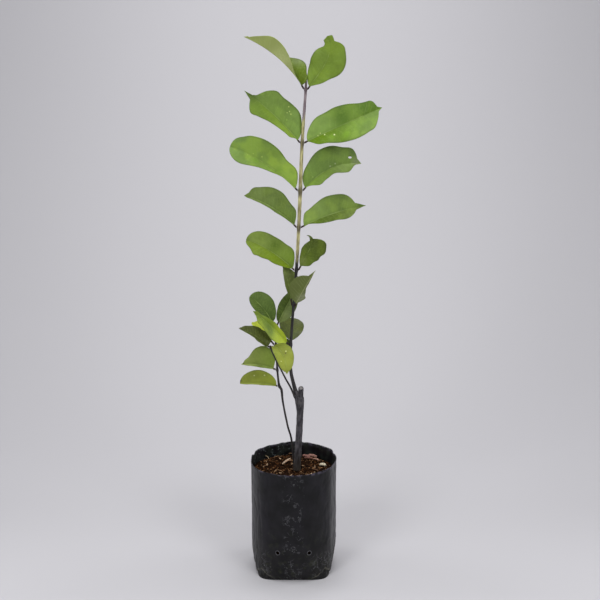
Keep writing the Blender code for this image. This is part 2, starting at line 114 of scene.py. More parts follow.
class Finish(Board):
    """One material: constants go on its shader's own sockets, and what varies is linked to them.
    Its colours are given as the eye reads them."""

    def __init__(self, name, colour, roughness, specular):
        self.material = bpy.data.materials.new(name)
        self.material.use_nodes = True
        super().__init__(self.material.node_tree)
        self.shader = self.tree.nodes["Principled BSDF"]
        constants = {"Base Color": linear(*colour), "Roughness": roughness, "Specular IOR Level": specular}
        for socket, value in constants.items():
            self.shader.inputs[socket].default_value = value
        self.place = self.node("ShaderNodeTexCoord", output="Object")

    def link(self, socket, wave):
        self.tree.links.new(wave.socket, self.shader.inputs[socket])

    def attribute(self, name):
        return self.node("ShaderNodeAttribute", output="Fac", attribute_name=name)

    def cloud(self, size, detail=3, upright=1):
        """Soft noise from 0 to 1 with features about size millimetres across, taller if upright is low."""
        place = self.place
        if upright != 1:
            place = self.node("ShaderNodeMapping", {"Vector": place, "Scale": (1, 1, upright)})
        return self.node("ShaderNodeTexNoise", {"Vector": place, "Scale": 1 / (size * MM), "Detail": detail})

    def mix(self, share, first, second):
        first, second = (linear(*tone) if isinstance(tone, tuple) else tone for tone in (first, second))
        return self.node("ShaderNodeMix", {0: share, 6: first, 7: second}, 2, data_type="RGBA")

    def layered(self, colour, *coats):
        """The colour under coats of others, each a share and a colour, laid on in turn."""
        for share, coat in coats:
            colour = self.mix(share, colour, coat)
        return colour

    def done(self, colour, height, distance, strength=1, roughness=None):
        """The material, with what varies in it linked and relief as deep as distance."""
        sockets = {"Height": height, "Distance": distance * MM, "Strength": strength}
        relief = self.node("ShaderNodeBump", sockets)
        for socket, wave in (("Base Color", colour), ("Roughness", roughness), ("Normal", relief)):
            if wave:
                self.link(socket, wave)
        return self.material


def black_film():
    film = Finish("black_film", (22, 22, 25), 0.36, 0.22)
    x, y, height = (film.place.part(axis) for axis in range(3))
    across = abs(x)
    worn = film.cloud(22, 4, 0.45)
    dusty = height.step(0.06, 0) * worn.step(0.3, 0.7) * (across.step(0.012, 0.036) * 0.7 + 0.3)
    stained = height.step(0.085, 0.01) * film.cloud(7, 6).step(0.52, 0.68)
    facing = film.node("ShaderNodeNewGeometry", output="Normal")
    inner_wall = (facing.part(0) * x + facing.part(1) * y).step(0, -0.01)
    # The pale grey-blue specks on the inner wall are painted highlights.
    painted_inner_highlights = inner_wall * x.step(0.006, -0.006) * film.cloud(2.8, 4).step(0.58, 0.68)
    middle = across.step(0.02, 0.004) * film.cloud(12, 2).step(0.42, 0.55)
    low = height.step(0.055, 0.02) * worn.step(0.35, 0.6) * across.step(0.008, 0.03)
    scuffed = (middle + low).step(0.25, 0.9)
    creased = (1 - abs(film.cloud(8, 5) - 0.5) * 24).step(0, 1) * scuffed
    flecks = film.cloud(1.7, 2).step(0.66, 0.72) * scuffed
    # lip: the purple-grey line along the top edge of the rim is a painted highlight.
    lip = height.step(0.1322, 0.135) * film.cloud(5).step(0.4, 0.62)
    askew = abs(across - abs(y))
    flap_edge = height + (film.cloud(5) - 0.5) * 0.006 + askew * 0.45
    # The near-black triangle under each corner's folded flap is painted shade.
    painted_flap_shade = flap_edge.step(0.0125, 0.0105) * askew.step(0.024, 0.016)
    seam = (1 - abs(flap_edge - 0.0125) * 560).step(0, 1) * askew.step(0.024, 0.014)
    colour = film.layered(
        film.mix(film.cloud(13, 5).step(0.3, 0.7) * 0.8, (13, 13, 15), (27, 26, 30)),
        (worn.step(0.5, 0.75) * 0.35, (36, 34, 43)),
        (dusty * 0.45, (52, 50, 42)),
        (stained * 0.4, (54, 58, 40)),
        (creased * 0.42, (96, 96, 100)),
        (flecks * 0.6, (150, 156, 154)),
        (lip * 0.55, (92, 86, 104)),
        (painted_flap_shade * 0.6, (12, 12, 13)),
        (seam * worn.step(0.3, 0.6) * 0.6, (120, 118, 104)),
        # The lighter patches on the inner wall are painted reflected light.
        (inner_wall * film.cloud(9, 4).step(0.42, 0.62) * 0.8, (40, 44, 41)),
        (painted_inner_highlights * 0.7, (120, 130, 130)),
    )
    relief = film.cloud(1.6) * 0.2 + film.cloud(9, 4) * 1.1 + creased * 0.4
    return film.done(colour, relief, 0.6, 0.6, worn * 0.16 + dusty * 0.25 + 0.26)


def skin(name, grid, material, close_start=True):
    """A mesh through rows of points in millimetres, each row a ring, with its ends filled."""
    grid = np.asarray(grid, float)
    rows, columns = grid.shape[:2]
    index = np.arange(rows * columns).reshape(rows, columns)
    low, high = index[:-1], index[1:]
    quads = np.stack([low, np.roll(low, -1, 1), np.roll(high, -1, 1), high], -1)
    faces = quads.reshape(-1, 4).tolist()
    if close_start:
        faces.append(index[0][::-1].tolist())
    faces.append(index[-1].tolist())
    mesh = bpy.data.meshes.new(name)
    mesh.from_pydata((grid.reshape(-1, 3) * MM).tolist(), [], faces)
    mesh.shade_smooth()
    mesh.materials.append(material)
    return mesh


def placed(name, data):
    made = bpy.data.objects.new(name, data)
    bpy.context.scene.collection.objects.link(made)
    return made


def piece(name, mesh, slot, *nodes):
    """The mesh made an object of the plant, in place of the nodes that it stands for."""
    made = placed(name, mesh)
    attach(made, "root")
    if nodes:
        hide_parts(*nodes)


def bumpy(x, y, z):
    """Smooth noise from -1 to 1."""
    return noise.noise(Vector((x, y, z)))


def around(sides):
    return [2 * pi * i / sides for i in range(sides)]


def bag_radius(angle, height):
    """Distance from the bag's axis to its film, before its small creases."""
    drawn = min(height / DRAWN_IN_HEIGHT, 1)
    half = FLOOR_HALF + (BAG_HALF - FLOOR_HALF) * sin(0.5 * pi * drawn) ** 0.75
    power = RIM_SQUARENESS + (FLOOR_SQUARENESS - RIM_SQUARENESS) * exp(-height / SQUARENESS_FADE)
    spread = (abs(cos(angle)) ** power + abs(sin(angle)) ** power) ** (1 / power)
    folds = sum(depth * sin(count * angle + phase) for count, depth, phase in CREASES)
    return half / spread + drawn * folds


def rim_height(angle):
    tilt = RIM_TILT_RIGHT * cos(angle) + RIM_TILT_BACK * sin(angle)
    return BAG_HEIGHT + tilt + RIM_RIPPLE * sin(5 * angle)


def handling(angle, height):
    """Inward dents of the film: tall soft folds, fine crinkles and the flaps tucked under the foot."""
    x, y = cos(angle), sin(angle)
    foot = max(0, 1 - height / 46)
    tall = bumpy(x * 4.2, y * 4.2, height * 0.013)
    crinkle = 1 - abs(bumpy(x * 5.5 + 7, y * 5.5, height * 0.045)) * 2.2
    crumple = 1 - abs(bumpy(x * 4.5, y * 4.5 + 3, height * 0.11)) * 2.4
    buckle = bumpy(x * 2.6, y * 2.6 + 5, height * 0.06)
    dent = 0.6 * max(tall, 0) + 0.4 * max(crinkle, 0) ** 4 + 0.7 * max(buckle, 0)
    dent += 1.2 * foot * max(crumple, 0) ** 3
    corner = abs((angle - pi / 4) % (pi / 2))
    corner = min(corner, pi / 2 - corner)
    flap = TUCK_HEIGHT * (1 - corner / TUCK_REACH)
    tuck = min(max((flap - height) / 1.6, 0), 1) if corner < TUCK_REACH else 0
    return dent * min(height / 3, 1) + TUCK_DEPTH * tuck * min(height, 1)


def rim_slump(angle):
    """How far the upper edge sags: small waves all round, and a notch at each side seam."""
    wave = bumpy(cos(angle) * 5, sin(angle) * 5, 2)
    notch = sum(depth * exp(-(((angle - radians(place)) / 0.09) ** 2)) for place, depth in NOTCHES)
    ripple = bumpy(cos(angle) * 12, sin(angle) * 12, 8)
    return 0.8 * max(wave, 0) + 0.7 * max(ripple, 0) + notch


def bag_row(height, inset, lift=0):
    row = []
    for angle in around(BAG_SIDES):
        lip = LIP_PROUD * exp(-(((BAG_HEIGHT - height) / LIP_HEIGHT) ** 2))
        radius = bag_radius(angle, height) - handling(angle, height) * (1 - lip) + lip - FILM_INSET - inset
        sag = rim_slump(angle) * max(height / BAG_HEIGHT - 0.8, 0) / 0.2
        z = height * rim_height(angle) / BAG_HEIGHT + lift - sag
        radius -= 0.45 * sag
        row.append((radius * cos(angle), radius * sin(angle), z))
    return row


def floor_row(share, z):
    return [(x * share, y * share, z) for x, y, _ in bag_row(0, 0.6)]


outside = [0.7, 1.5, 2.6, 4, 5.5, 7.2, 9] + list(np.linspace(11, 133, 76)) + [134.2, 135.2]
inside = [134.6, 133, 130, 126, 121, 116, 100, 60, 20]
rows = [floor_row(0.6, 0), floor_row(0.97, 0), bag_row(0, 0.4)]
rows += [bag_row(height, 0) for height in outside]
rows += [bag_row(BAG_HEIGHT, 0.2), bag_row(BAG_HEIGHT, 0.45, 0.12), bag_row(BAG_HEIGHT, 0.75)]
rows += [bag_row(height, FILM) for height in inside]
rows += [floor_row(0.9, FILM), floor_row(0.5, FILM)]
bag_mesh = skin("bag_film", rows, black_film())

# Drain holes
# Six holes punched through the film a little above the foot, each with the thin raised rim that the
# punch leaves, stretched thin and painted pale grey as its highlight.

HOLE_RADIUS, HOLE_HEIGHT = 2.5, 37.5
HOLE_ANGLES = (0, 69, 111, 180, 249, 291)
RIM_THICKNESS = 0.42


def settled(body):
    """The mesh that a body's modifiers make of it. The body is taken away."""
    graph = bpy.context.evaluated_depsgraph_get()
    made = bpy.data.meshes.new_from_object(body.evaluated_get(graph))
    bpy.data.objects.remove(body)
    return made


def marked(mesh, name, values, domain="POINT", kind="FLOAT"):
    """A value, or a vector, kept on each of the mesh's points or faces."""
    field = mesh.attributes.new(name, kind, domain).data
    field.foreach_set("value" if kind == "FLOAT" else "vector", np.asarray(values, np.float32).ravel())


def oval(centre, side, rise, sides):
    """Points round an ellipse, from its middle and its two half-axes."""
    return [tuple(centre + (side * cos(turn) + rise * sin(turn))) for turn in around(sides)]


def grower(name, **kinds):
    """A node tree with an input for each label given for a kind of socket, and a Wave for each."""
    tree = bpy.data.node_groups.new(name, "GeometryNodeTree")
    for kind, labels in {"Geometry": ("Geometry",), **kinds}.items():
        for label in labels:
            tree.interface.new_socket(label, in_out="INPUT", socket_type="NodeSocket" + kind)
    tree.interface.new_socket("Geometry", in_out="OUTPUT", socket_type="NodeSocketGeometry")
    board = Board(tree)
    return board, [Wave(board, socket) for socket in list(tree.nodes.new("NodeGroupInput").outputs)[:-1]]


def painted(board, geometry, finish):
    """The board's tree, ended with its geometry in its finish."""
    made = board.node("GeometryNodeSetMaterial", {"Geometry": geometry, "Material": finish})
    board.tree.links.new(made.socket, board.tree.nodes.new("NodeGroupOutput").inputs[0])
    return board.tree


def punched_rims():
    """A node tree that sets a small ring on each point, facing along the point's outward direction."""
    board, inputs = grower("punched_rims", Float=("Hole radius", "Rim thickness"), Material=("Film",))
    node = board.node
    points, radius, thick, film = inputs
    hoop = node("GeometryNodeCurvePrimitiveCircle", {"Resolution": 28, "Radius": radius})
    wire = node("GeometryNodeCurvePrimitiveCircle", {"Resolution": 8, "Radius": thick})
    ring = node("GeometryNodeCurveToMesh", {"Curve": hoop, "Profile Curve": wire})
    outward = node("GeometryNodeInputNamedAttribute", {"Name": "outward"}, data_type="FLOAT_VECTOR")
    facing = node("FunctionNodeAlignRotationToVector", {"Vector": outward}, axis="Z")
    spots = node("GeometryNodeMeshToPoints", {"Mesh": points})
    rings = node("GeometryNodeInstanceOnPoints", {"Points": spots, "Instance": ring, "Rotation": facing})
    return painted(board, node("GeometryNodeRealizeInstances", {"Geometry": rings}), film)


def grown(name, host, tree, **inputs):
    """The host mesh put through a node tree, with its inputs set by name, as a plain mesh."""
    stand = placed(name, host)
    modifier = stand.modifiers.new(name, "NODES")
    modifier.node_group = tree
    for item in tree.interface.items_tree:
        key = item.name.replace(" ", "_").lower()
        if item.in_out == "INPUT" and key in inputs:
            modifier[item.identifier] = inputs[key]
    made = settled(stand)
    made.name = name
    made.shade_smooth()
    return made


def hole_seats():
    """The middle of each hole on the film, and the way it faces."""
    seats = []
    for degrees in HOLE_ANGLES:
        angle = radians(degrees)
        reach = bag_radius(angle, HOLE_HEIGHT) - handling(angle, HOLE_HEIGHT) - FILM_INSET
        out = Vector((cos(angle), sin(angle), 0))
        lift = Vector((0, 0, HOLE_HEIGHT * rim_height(angle) / BAG_HEIGHT))
        seats.append((out * reach + lift, out))
    return seats


def drilled(mesh, centre, out, radius, depth, squash=1):
    """The mesh with a round or oval hole cut along out."""
    side = Vector((0, 0, 1)).cross(out).normalized()
    rise = out.cross(side) * radius * squash
    rows = [oval(centre + out * along, side * radius, rise, 28) for along in (-depth, depth)]
    cutter, body = placed("punch", skin("punch", rows, mesh.materials[0])), placed("punched", mesh)
    cut = body.modifiers.new("hole", "BOOLEAN")
    cut.operation, cut.object, cut.solver = "DIFFERENCE", cutter, "EXACT"
    made = settled(body)
    bpy.data.objects.remove(cutter)
    return made


for centre, out in hole_seats():
    bag_mesh = drilled(bag_mesh, centre, out, HOLE_RADIUS, 4)
piece("bag_film", bag_mesh, "black_film", "bag")
seats = bpy.data.meshes.new("hole_seats")
seats.from_pydata([tuple(centre * MM) for centre, _ in hole_seats()], [], [])
marked(seats, "outward", [out for _, out in hole_seats()], kind="FLOAT_VECTOR")
# The rims' grey is a painted highlight of the punched edge.
edge = Finish("punched_edge", (76, 76, 80), 0.5, 0.5)
rims = grown("hole_rims", seats, punched_rims(), hole_radius=(HOLE_RADIUS + 0.1) * MM,
             rim_thickness=RIM_THICKNESS * MM, film=edge.done(None, edge.cloud(1.2), 0.3))
piece("hole_rims", rims, "black_film")

# Potting soil
# Moist reddish-brown soil with coir, sunk a little below the rim. Its top is loose crumbs and small
# clods, with a few chips of husk and straw lying on it.

SOIL_TOP, SOIL_EDGE_DROP, SOIL_FLAT = 123, 2.5, 0.3
SOIL_RINGS, SOIL_INSET, SOIL_ROWS = 44, 1.6, (2, 10, 22, 40, 75, 105)


def soil_finish(name, dark, light, size):
    soil = Finish(name, light, 0.95, 0.05)
    grains = soil.cloud(size, 4)
    colour = soil.mix(grains.step(0.38, 0.66), dark, light)
    return soil.done(soil.mix(soil.cloud(11).step(0.4, 0.65) * 0.4, colour, dark), grains, 0.5, 0.7)


def soil_point(share, angle):
    """A point of the soil's top, a share of the way out from the middle: level there, sunk at the edge."""
    radius = (bag_radius(angle, SOIL_TOP) - handling(angle, SOIL_TOP) - SOIL_INSET) * share
    x, y = radius * cos(angle), radius * sin(angle)
    rough = 1.5 * noise.noise(Vector((x, y, 3)) / 7) + 0.9 * noise.noise(Vector((x, y, 9)) / 2.6)
    outer = max(share - SOIL_FLAT, 0) / (1 - SOIL_FLAT)
    lumps = 0.8 * sin(3 * angle + 0.7) + 0.6 * sin(7 * angle + 1.9)
    level = SOIL_TOP - SOIL_EDGE_DROP * outer**2 + lumps * sin(pi * outer)
    return x, y, level + rough * min(1, 4 * (1 - share) + 0.4) - 0.2


def soil_top_rows(reach=1):
    """Rings of the soil's top, from a share of the way out to the middle."""
    sides = around(BAG_SIDES)
    shares = 1 - np.linspace(0, 1, SOIL_RINGS) ** 1.15 * 0.985
    return [[soil_point(share, angle) for angle in sides] for share in shares if share <= reach]


def scattered():
    """A node tree that strews lumps over the upward faces of a surface and roughens each of them."""
    amounts = ("Per square metre", "Smallest", "Largest", "Roughness", "Length")
    board, inputs = grower("scattered", Float=amounts, Int=("Seed",), Material=("Finish",))
    node = board.node
    ground, count, small, large, rough, long, seed, finish = inputs
    facing = node("GeometryNodeInputNormal").part(2)
    top = node("FunctionNodeCompare", {0: facing, 1: 0.3}, operation="GREATER_THAN")
    spots = node("GeometryNodeDistributePointsOnFaces",
                 {"Mesh": ground, "Selection": top, "Density": count, "Seed": seed})
    lump = node("GeometryNodeMeshIcoSphere", {"Radius": 1, "Subdivisions": 1})
    turned = node("FunctionNodeRandomValue", {0: (-0.5, -0.5, 0), 1: (0.5, 0.5, 6.28), "Seed": seed},
                  data_type="FLOAT_VECTOR")
    size = node("FunctionNodeRandomValue", {2: 0, 3: 1, "Seed": seed}, 1, data_type="FLOAT")
    size = small + (large - small) * size**2.2
    squat = node("ShaderNodeCombineXYZ", {0: size * long, 1: size * 0.8, 2: size * 0.5})
    lumps = node("GeometryNodeInstanceOnPoints",
                 {"Points": spots, "Instance": lump, "Rotation": turned, "Scale": squat})
    solid = node("GeometryNodeRealizeInstances", {"Geometry": lumps})
    place = node("GeometryNodeInputPosition")
    jag = node("ShaderNodeTexNoise", {"Vector": place, "Scale": 900, "Detail": 1}, 1)
    jag = node("ShaderNodeVectorMath", {0: jag, 1: (0.5, 0.5, 0.5)}, operation="SUBTRACT")
    jag = node("ShaderNodeVectorMath", {0: jag, "Scale": rough}, operation="SCALE")
    return painted(board, node("GeometryNodeSetPosition", {"Geometry": solid, "Offset": jag}), finish)


LITTER = (  # name, per square metre, smallest, largest, roughness, seed, how long, dark and light tone
    ("soil_crumbs", 150000.0, 0.6, 2.0, 1.3, 4, 1.0, (15, 8, 4), (68, 42, 24)),
    ("soil_clods", 24000.0, 1.1, 2.9, 1.6, 9, 1.0, (30, 16, 8), (98, 62, 33)),
    ("husk_bits", 46000.0, 0.5, 1.4, 0.6, 13, 2.6, (72, 48, 30), (170, 130, 92)),
    ("pale_bits", 7000.0, 0.5, 1.3, 0.5, 22, 2.4, (156, 124, 94), (228, 202, 170)),
)
LITTER_REACH = 0.94  # share of the soil's top that is strewn
rows = [[(x * 0.975, y * 0.975, z) for x, y, z in bag_row(height, SOIL_INSET)] for height in SOIL_ROWS]
rows += soil_top_rows()
soil_mesh = skin("soil_body", rows, soil_finish("potting_soil", (10, 5, 2), (46, 26, 12), 1.6))
ground = skin("soil_top", soil_top_rows(LITTER_REACH), soil_mesh.materials[0], False)
strewing = scattered()
for name, count, small, large, rough, seed, long, dark, light in LITTER:
    lumps = grown(name, ground.copy(), strewing, per_square_metre=count, smallest=small * MM,
                  largest=large * MM, roughness=rough * MM, seed=seed, length=long,
                  finish=soil_finish(name, dark, light, 1.1))
    piece(name, lumps, "potting_soil")
piece("soil_body", soil_mesh, "potting_soil", "soil")

# Chips and straws on the soil
# Loose slivers of coconut husk and dry straw, and one pale chip, each a thin curved strip.

STRAW_LIFT = 1.7  # of its ends above the soil's level
STRAWS = (  # both ends on the soil, width, thickness, how far its middle stands up, tone
    ((-13, 9.6), (-3.4, 26.5), 2.2, 1.4, 0.6, (240, 210, 180)),
    ((-10.4, 12.6), (-2.4, 21.5), 1.4, 1, 0.9, (200, 160, 130)),
    ((11.5, 37), (19, 31.5), 4, 2.8, 0.4, (176, 124, 112)),
    ((18.5, 37.5), (27.5, 31.5), 3.8, 3.2, 0.6, (196, 146, 132)),
    ((13, 29), (23, 26), 2.8, 2, 0.5, (150, 102, 90)),
    ((24, 26), (30, 21), 2.4, 1.8, 0.4, (204, 158, 138)),
    ((31.5, 8), (38, 4.2), 5.2, 3.2, 0.9, (246, 234, 204)),
    ((-34.1, 36), (-30.2, 26), 1.2, 0.9, 0.4, (190, 168, 132)),
    ((-24, 30), (-17, 33.5), 1.3, 1, 0.4, (150, 112, 78)),
    ((-20, -8), (-12.5, -15), 1.4, 0.8, 0.4, (146, 110, 74)),
    ((14, -22), (24, -27), 1.5, 0.8, 0.4, (150, 116, 78)),
    ((-30, 8), (-37, 2), 1.4, 0.8, 0.4, (132, 98, 66)),
    ((22, -6), (29, -12), 1.6, 0.9, 0.4, (122, 84, 58)),
    ((-6, 43), (4, 40), 1.3, 0.9, 0.5, (150, 118, 88)),
)


def toned(tone, *gains):
    """The colour made lighter or darker, by one gain for all its parts or one for each."""
    return tuple(value * gain for value, gain in zip(tone, gains * 3))


def straw_finish(name, tone):
    straw = Finish(name, tone, 0.8, 0.3)
    grain = straw.cloud(0.9)
    return straw.done(straw.mix(grain.step(0.35, 0.7), toned(tone, 0.55), tone), grain, 0.2, 0.5)


for number, (start, end, width, thick, arch, tone) in enumerate(STRAWS, 1):
    start, end = (Vector((*place, SOIL_TOP + STRAW_LIFT)) for place in (start, end))
    aside = Vector((*(end - start).xy.orthogonal().normalized(), 0))
    rows = []
    for t in np.linspace(0, 1, 9):
        middle = start.lerp(end, t) + aside * 0.8 * sin(2.5 * t) + Vector((0, 0, arch * sin(pi * t)))
        half = 0.5 * width * (0.35 + 0.65 * sin(pi * min(max(t, 0.06), 0.94)) ** 0.5)
        rows.append(oval(middle, aside * half, Vector((0, 0, 0.5 * thick)), 8)[::-1])
    name = f"straw_{number}"
    piece(name, skin(name, rows, straw_finish(name, tone)), "potting_soil")

# Trunk
# The old main stem, charcoal-barked and thicker at the soil. It was cut off above the fork, where
# the new leader and a thin side twig grow from it, and the cut has healed to a grey disc.

TRUNK = (
    (4.2, -5, 123.3, 4.6), (4.2, -5, 126, 4.15), (5.4, -4.6, 145, 3.85),
    (7, -4.2, 175, 3.65), (7.8, -4, 196, 3.75), (7.3, -4, 207, 5),
    (7.4, -4, 213.5, 4.4),
)
PRUNED_STUB = (
    (7, -4.2, 206, 3.2), (8.6, -4.5, 216, 2.8), (8.8, -4.9, 221.5, 2.8), (8.9, -7, 225.6, 2.8),
)
LEADER_SHOULDER = ((6, -4, 206, 3.2), (4.2, -3.6, 213.5, 2.8), (2.4, -3, 221, 2.6))
TWIG_SPUR = ((5.5, -5, 208, 2.2), (1, -9, 217, 1.3))
BARK_VOXEL = 0.5
BARK_GROWTH = 0.3  # by which the fused skin is let out again
CUT_RADIUS, CUT_HOLLOW = 2.4, 0.6


def smooth_path(knots, step):
    """Points along a smooth curve through the knots, each value of a knot eased like its place."""
    knots = np.array(knots, float)
    ends = np.vstack([2 * knots[0] - knots[1], knots, 2 * knots[-1] - knots[-2]])
    path = [knots[0]]
    for before, start, end, after in zip(ends, ends[1:], ends[2:], ends[3:]):
        count = max(int(round(np.linalg.norm((end - start)[:3]) / step)), 1)
        for t in np.linspace(0, 1, count + 1)[1:]:
            slope_in, slope_out = (end - before) / 2, (after - start) / 2
            a, b = 2 * t**3 - 3 * t**2 + 1, t**3 - 2 * t**2 + t
            c, d = 3 * t**2 - 2 * t**3, t**3 - t**2
            path.append(a * start + b * slope_in + c * end + d * slope_out)
    return np.array(path)


def limb_rows(path, sides, relief=lambda turn, height: 0):
    """Rings round a path of (x, y, z, radius). relief gives a ring's radii their unevenness."""
    ahead = np.gradient(path[:, :3], axis=0)
    ahead /= np.linalg.norm(ahead, axis=1)[:, None]
    right = np.cross(np.broadcast_to([0, 1, 0], ahead.shape), ahead)
    right /= np.linalg.norm(right, axis=1)[:, None]
    back = np.cross(ahead, right)
    turns = np.array(around(sides))
    rows = []
    for point, x_way, y_way in zip(path, right, back):
        radii = point[3] + np.array([relief(turn, point[2]) for turn in turns])[:, None]
        outward = np.cos(turns)[:, None] * x_way + np.sin(turns)[:, None] * y_way
        rows.append(point[:3] + radii * outward)
    return np.array(rows)


def fused(name, limbs):
    """The overlapping limbs made one even skin."""
    shape = bmesh.new()
    for limb in limbs:
        shape.from_mesh(limb)
    made = bpy.data.meshes.new(name)
    shape.to_mesh(made)
    shape.free()
    made.materials.append(limbs[0].materials[0])
    stand = placed(name, made)
    remesh = stand.modifiers.new("remesh", "REMESH")
    remesh.mode, remesh.voxel_size = "VOXEL", BARK_VOXEL * MM
    ease = stand.modifiers.new("ease", "SMOOTH")
    ease.factor, ease.iterations = 0.5, 6
    made = settled(stand)
    made.shade_smooth()
    return made


def trunk_finish():
    bark = Finish("trunk_bark", (62, 61, 66), 0.62, 0.35)
    fissures = bark.cloud(2.2, 4, 0.28)
    colour = bark.layered(
        bark.mix(fissures.step(0.35, 0.68), (40, 38, 42), (82, 79, 85)),
        (bark.cloud(6).step(0.5, 0.7) * 0.5, (98, 94, 92)),
        (bark.place.part(2).step(0.155, 0.124) * 0.85, (43, 36, 26)),
        (bark.attribute("cut"), (122, 118, 118)),
    )
    return bark.done(colour, fissures + bark.cloud(0.8) * 0.5, 0.45, 0.6)


def read_from(data, field):
    """One vector of each item of a mesh, as rows."""
    values = np.empty(len(data) * 3, np.float32)
    data.foreach_get(field, values)
    return values.reshape(-1, 3)


def barked(mesh):
    """Bark relief pressed into the trunk's skin, and its cut face hollowed and marked."""
    points = read_from(mesh.vertices, "co").astype(float) / MM
    normals = read_from(mesh.vertices, "normal")
    before, cut = np.array(PRUNED_STUB)[-2:, :3]
    out = (cut - before) / np.linalg.norm(cut - before)
    beyond = (points - cut) @ out
    from_axis = np.linalg.norm(points - cut - beyond[:, None] * out, axis=1)
    on_cut = np.clip((beyond + 1.1) / 0.5, 0, 1) * np.clip((CUT_RADIUS - from_axis) / 0.5, 0, 1)
    lifts = []
    for x, y, z in points:
        ridge, pit = bumpy(x / 1.6, y / 1.6, z / 6.5), bumpy(x / 0.9, y / 0.9, z / 1.7)
        lifts.append(BARK_GROWTH + 0.3 * ridge + 0.14 * pit)
    moved = points + normals * (np.array(lifts) * (1 - on_cut))[:, None]
    moved -= on_cut[:, None] * CUT_HOLLOW * out
    moved[:, 2] = np.maximum(moved[:, 2], SOIL_TOP)
    mesh.vertices.foreach_set("co", (moved * MM).astype(np.float32).ravel())
    marked(mesh, "cut", on_cut)
    mesh.update()
    return mesh


bark = trunk_finish()
arms = [skin("arm", limb_rows(smooth_path(knots, 2), 24), bark)
        for knots in (TRUNK, PRUNED_STUB, LEADER_SHOULDER, TWIG_SPUR)]
piece("trunk_bark", barked(fused("trunk", arms)), "trunk_bark", "trunk")

# Leader, basal shoot and side twig
# Slim straight growth of one or two seasons, with a swollen joint and a pale ring where each pair of
# leaves stands. The leader is grey-black below, tan above and purple at its soft top.

LEADER = (
    (2.4, -3, 221, 2.5), (0, -2, 230, 2.1), (-3.2, -1, 247, 1.85),
    (-2.9, 0, 276, 1.6), (0.3, 0, 322, 1.5), (3.6, 0, 364, 1.65),
    (6.3, 0, 413.5, 1.85), (8, 0, 455, 2.05), (10.1, 0, 508.6, 1.75),
    (14, 0, 567, 1.3), (14.3, 0, 579, 0.6),
)
BASAL_SHOOT = (
    (1, 3.5, 123.3, 1.5), (1, 3.5, 125, 1.4), (-2.4, 4, 158, 1.15),
    (-6.4, 4.5, 173, 1.1), (-10, 5, 191, 1.1), (-12.6, 5.5, 206, 1.15),
    (-14, 6, 219.5, 1.45), (-16.6, 6.5, 223.5, 1.3), (-18.7, 7, 243.5, 1.1),
    (-20.1, 7, 273.2, 1.05), (-20.6, 7, 297, 1),
)
SIDE_TWIG = (
    (1, -9, 217, 1.2), (-3.7, -10.5, 228.6, 1.05), (-7.7, -11.5, 236.1, 1),
    (-14.8, -14, 251.5, 0.95), (-22.2, -17, 268.3, 0.95), (-26.6, -18.5, 279.8, 1),
)
STEM_STEP = 5
TIP_STEP, TIP_SHARE = 0.35, 0.55  # the last ring: how far on, and its share of the tip's radius
NODE_SWELLING, NODE_REACH = 0.45, 3.5
STEM_NODES = {
    "leader": (567, 508.6, 455, 413.5, 364, 322, 276),
    "basal_shoot": (296.5, 273.2, 243.5, 223.5),
    "side_twig": (279,),
}


def along(path, height):
    """Point and radius of a stem at a height."""
    return np.array([np.interp(height, path[:, 2], path[:, i]) for i in range(4)])


def with_nodes(path, heights):
    """The path with a knuckle at each height where leaves stand."""
    extra = [along(path, z + dz) for z in heights for dz in (-NODE_REACH, 0, NODE_REACH)]
    extra = [point for point in extra if path[0, 2] < point[2] < path[-1, 2]]
    path = np.vstack([path, extra])
    path = path[np.argsort(path[:, 2])]
    keep = np.concatenate([[True], np.diff(path[:, 2]) > 0.6])
    keep[-1] = True
    path = path[keep].copy()
    for z in heights:
        path[:, 3] += NODE_SWELLING * np.exp(-(((path[:, 2] - z) / (0.6 * NODE_REACH)) ** 2))
    return path


def stem_relief(nodes):
    """Ridges that run up the stem, the ring at each joint and the skin's small unevenness."""
    def relief(turn, height):
        ring = sum(exp(-(((height - z + 1.4) / 0.5) ** 2)) for z in nodes)
        ridges = 0.05 * cos(4 * turn)
        uneven = bumpy(3 * cos(turn), 3 * sin(turn), height / 4.5)
        return 0.16 * ring + ridges + 0.09 * uneven
    return relief


def leader_finish():
    stem = Finish("leader_bark", (160, 156, 126), 0.5, 0.4)
    height = stem.place.part(2)
    streaks = stem.cloud(1.5, 4, 0.13)
    ragged = height + (stem.cloud(5, 3, 0.3) - 0.5) * 0.04
    dark = stem.mix(streaks.step(0.35, 0.7), (26, 24, 27), (54, 51, 52))
    purple = stem.mix(streaks.step(0.35, 0.7), (108, 92, 101), (168, 153, 156))
    tan = stem.mix(streaks.step(0.38, 0.66), (150, 141, 98), (214, 208, 150))
    joints = sum(abs(height - z * MM + 0.001).step(0.009, 0.002) for z in STEM_NODES["leader"][:5])
    tan = stem.mix(joints * streaks.step(0.3, 0.55) * 0.85, tan, (66, 56, 44))
    colour = stem.layered(
        stem.mix(ragged.step(0.376, 0.386), dark, tan),
        (ragged.step(0.534, 0.541), purple),
        (height.step(0.56, 0.566) * 0.6, (62, 46, 50)),
    )
    return stem.done(colour, streaks, 0.25, 0.5, streaks * 0.2 + 0.42)


def shoot_finish(name, low, high):
    stem = Finish(name, low, 0.55, 0.35)
    streaks = stem.cloud(1.2, 4, 0.16)
    return stem.done(stem.mix(streaks.step(0.36, 0.68), low, high), streaks, 0.22, 0.5)


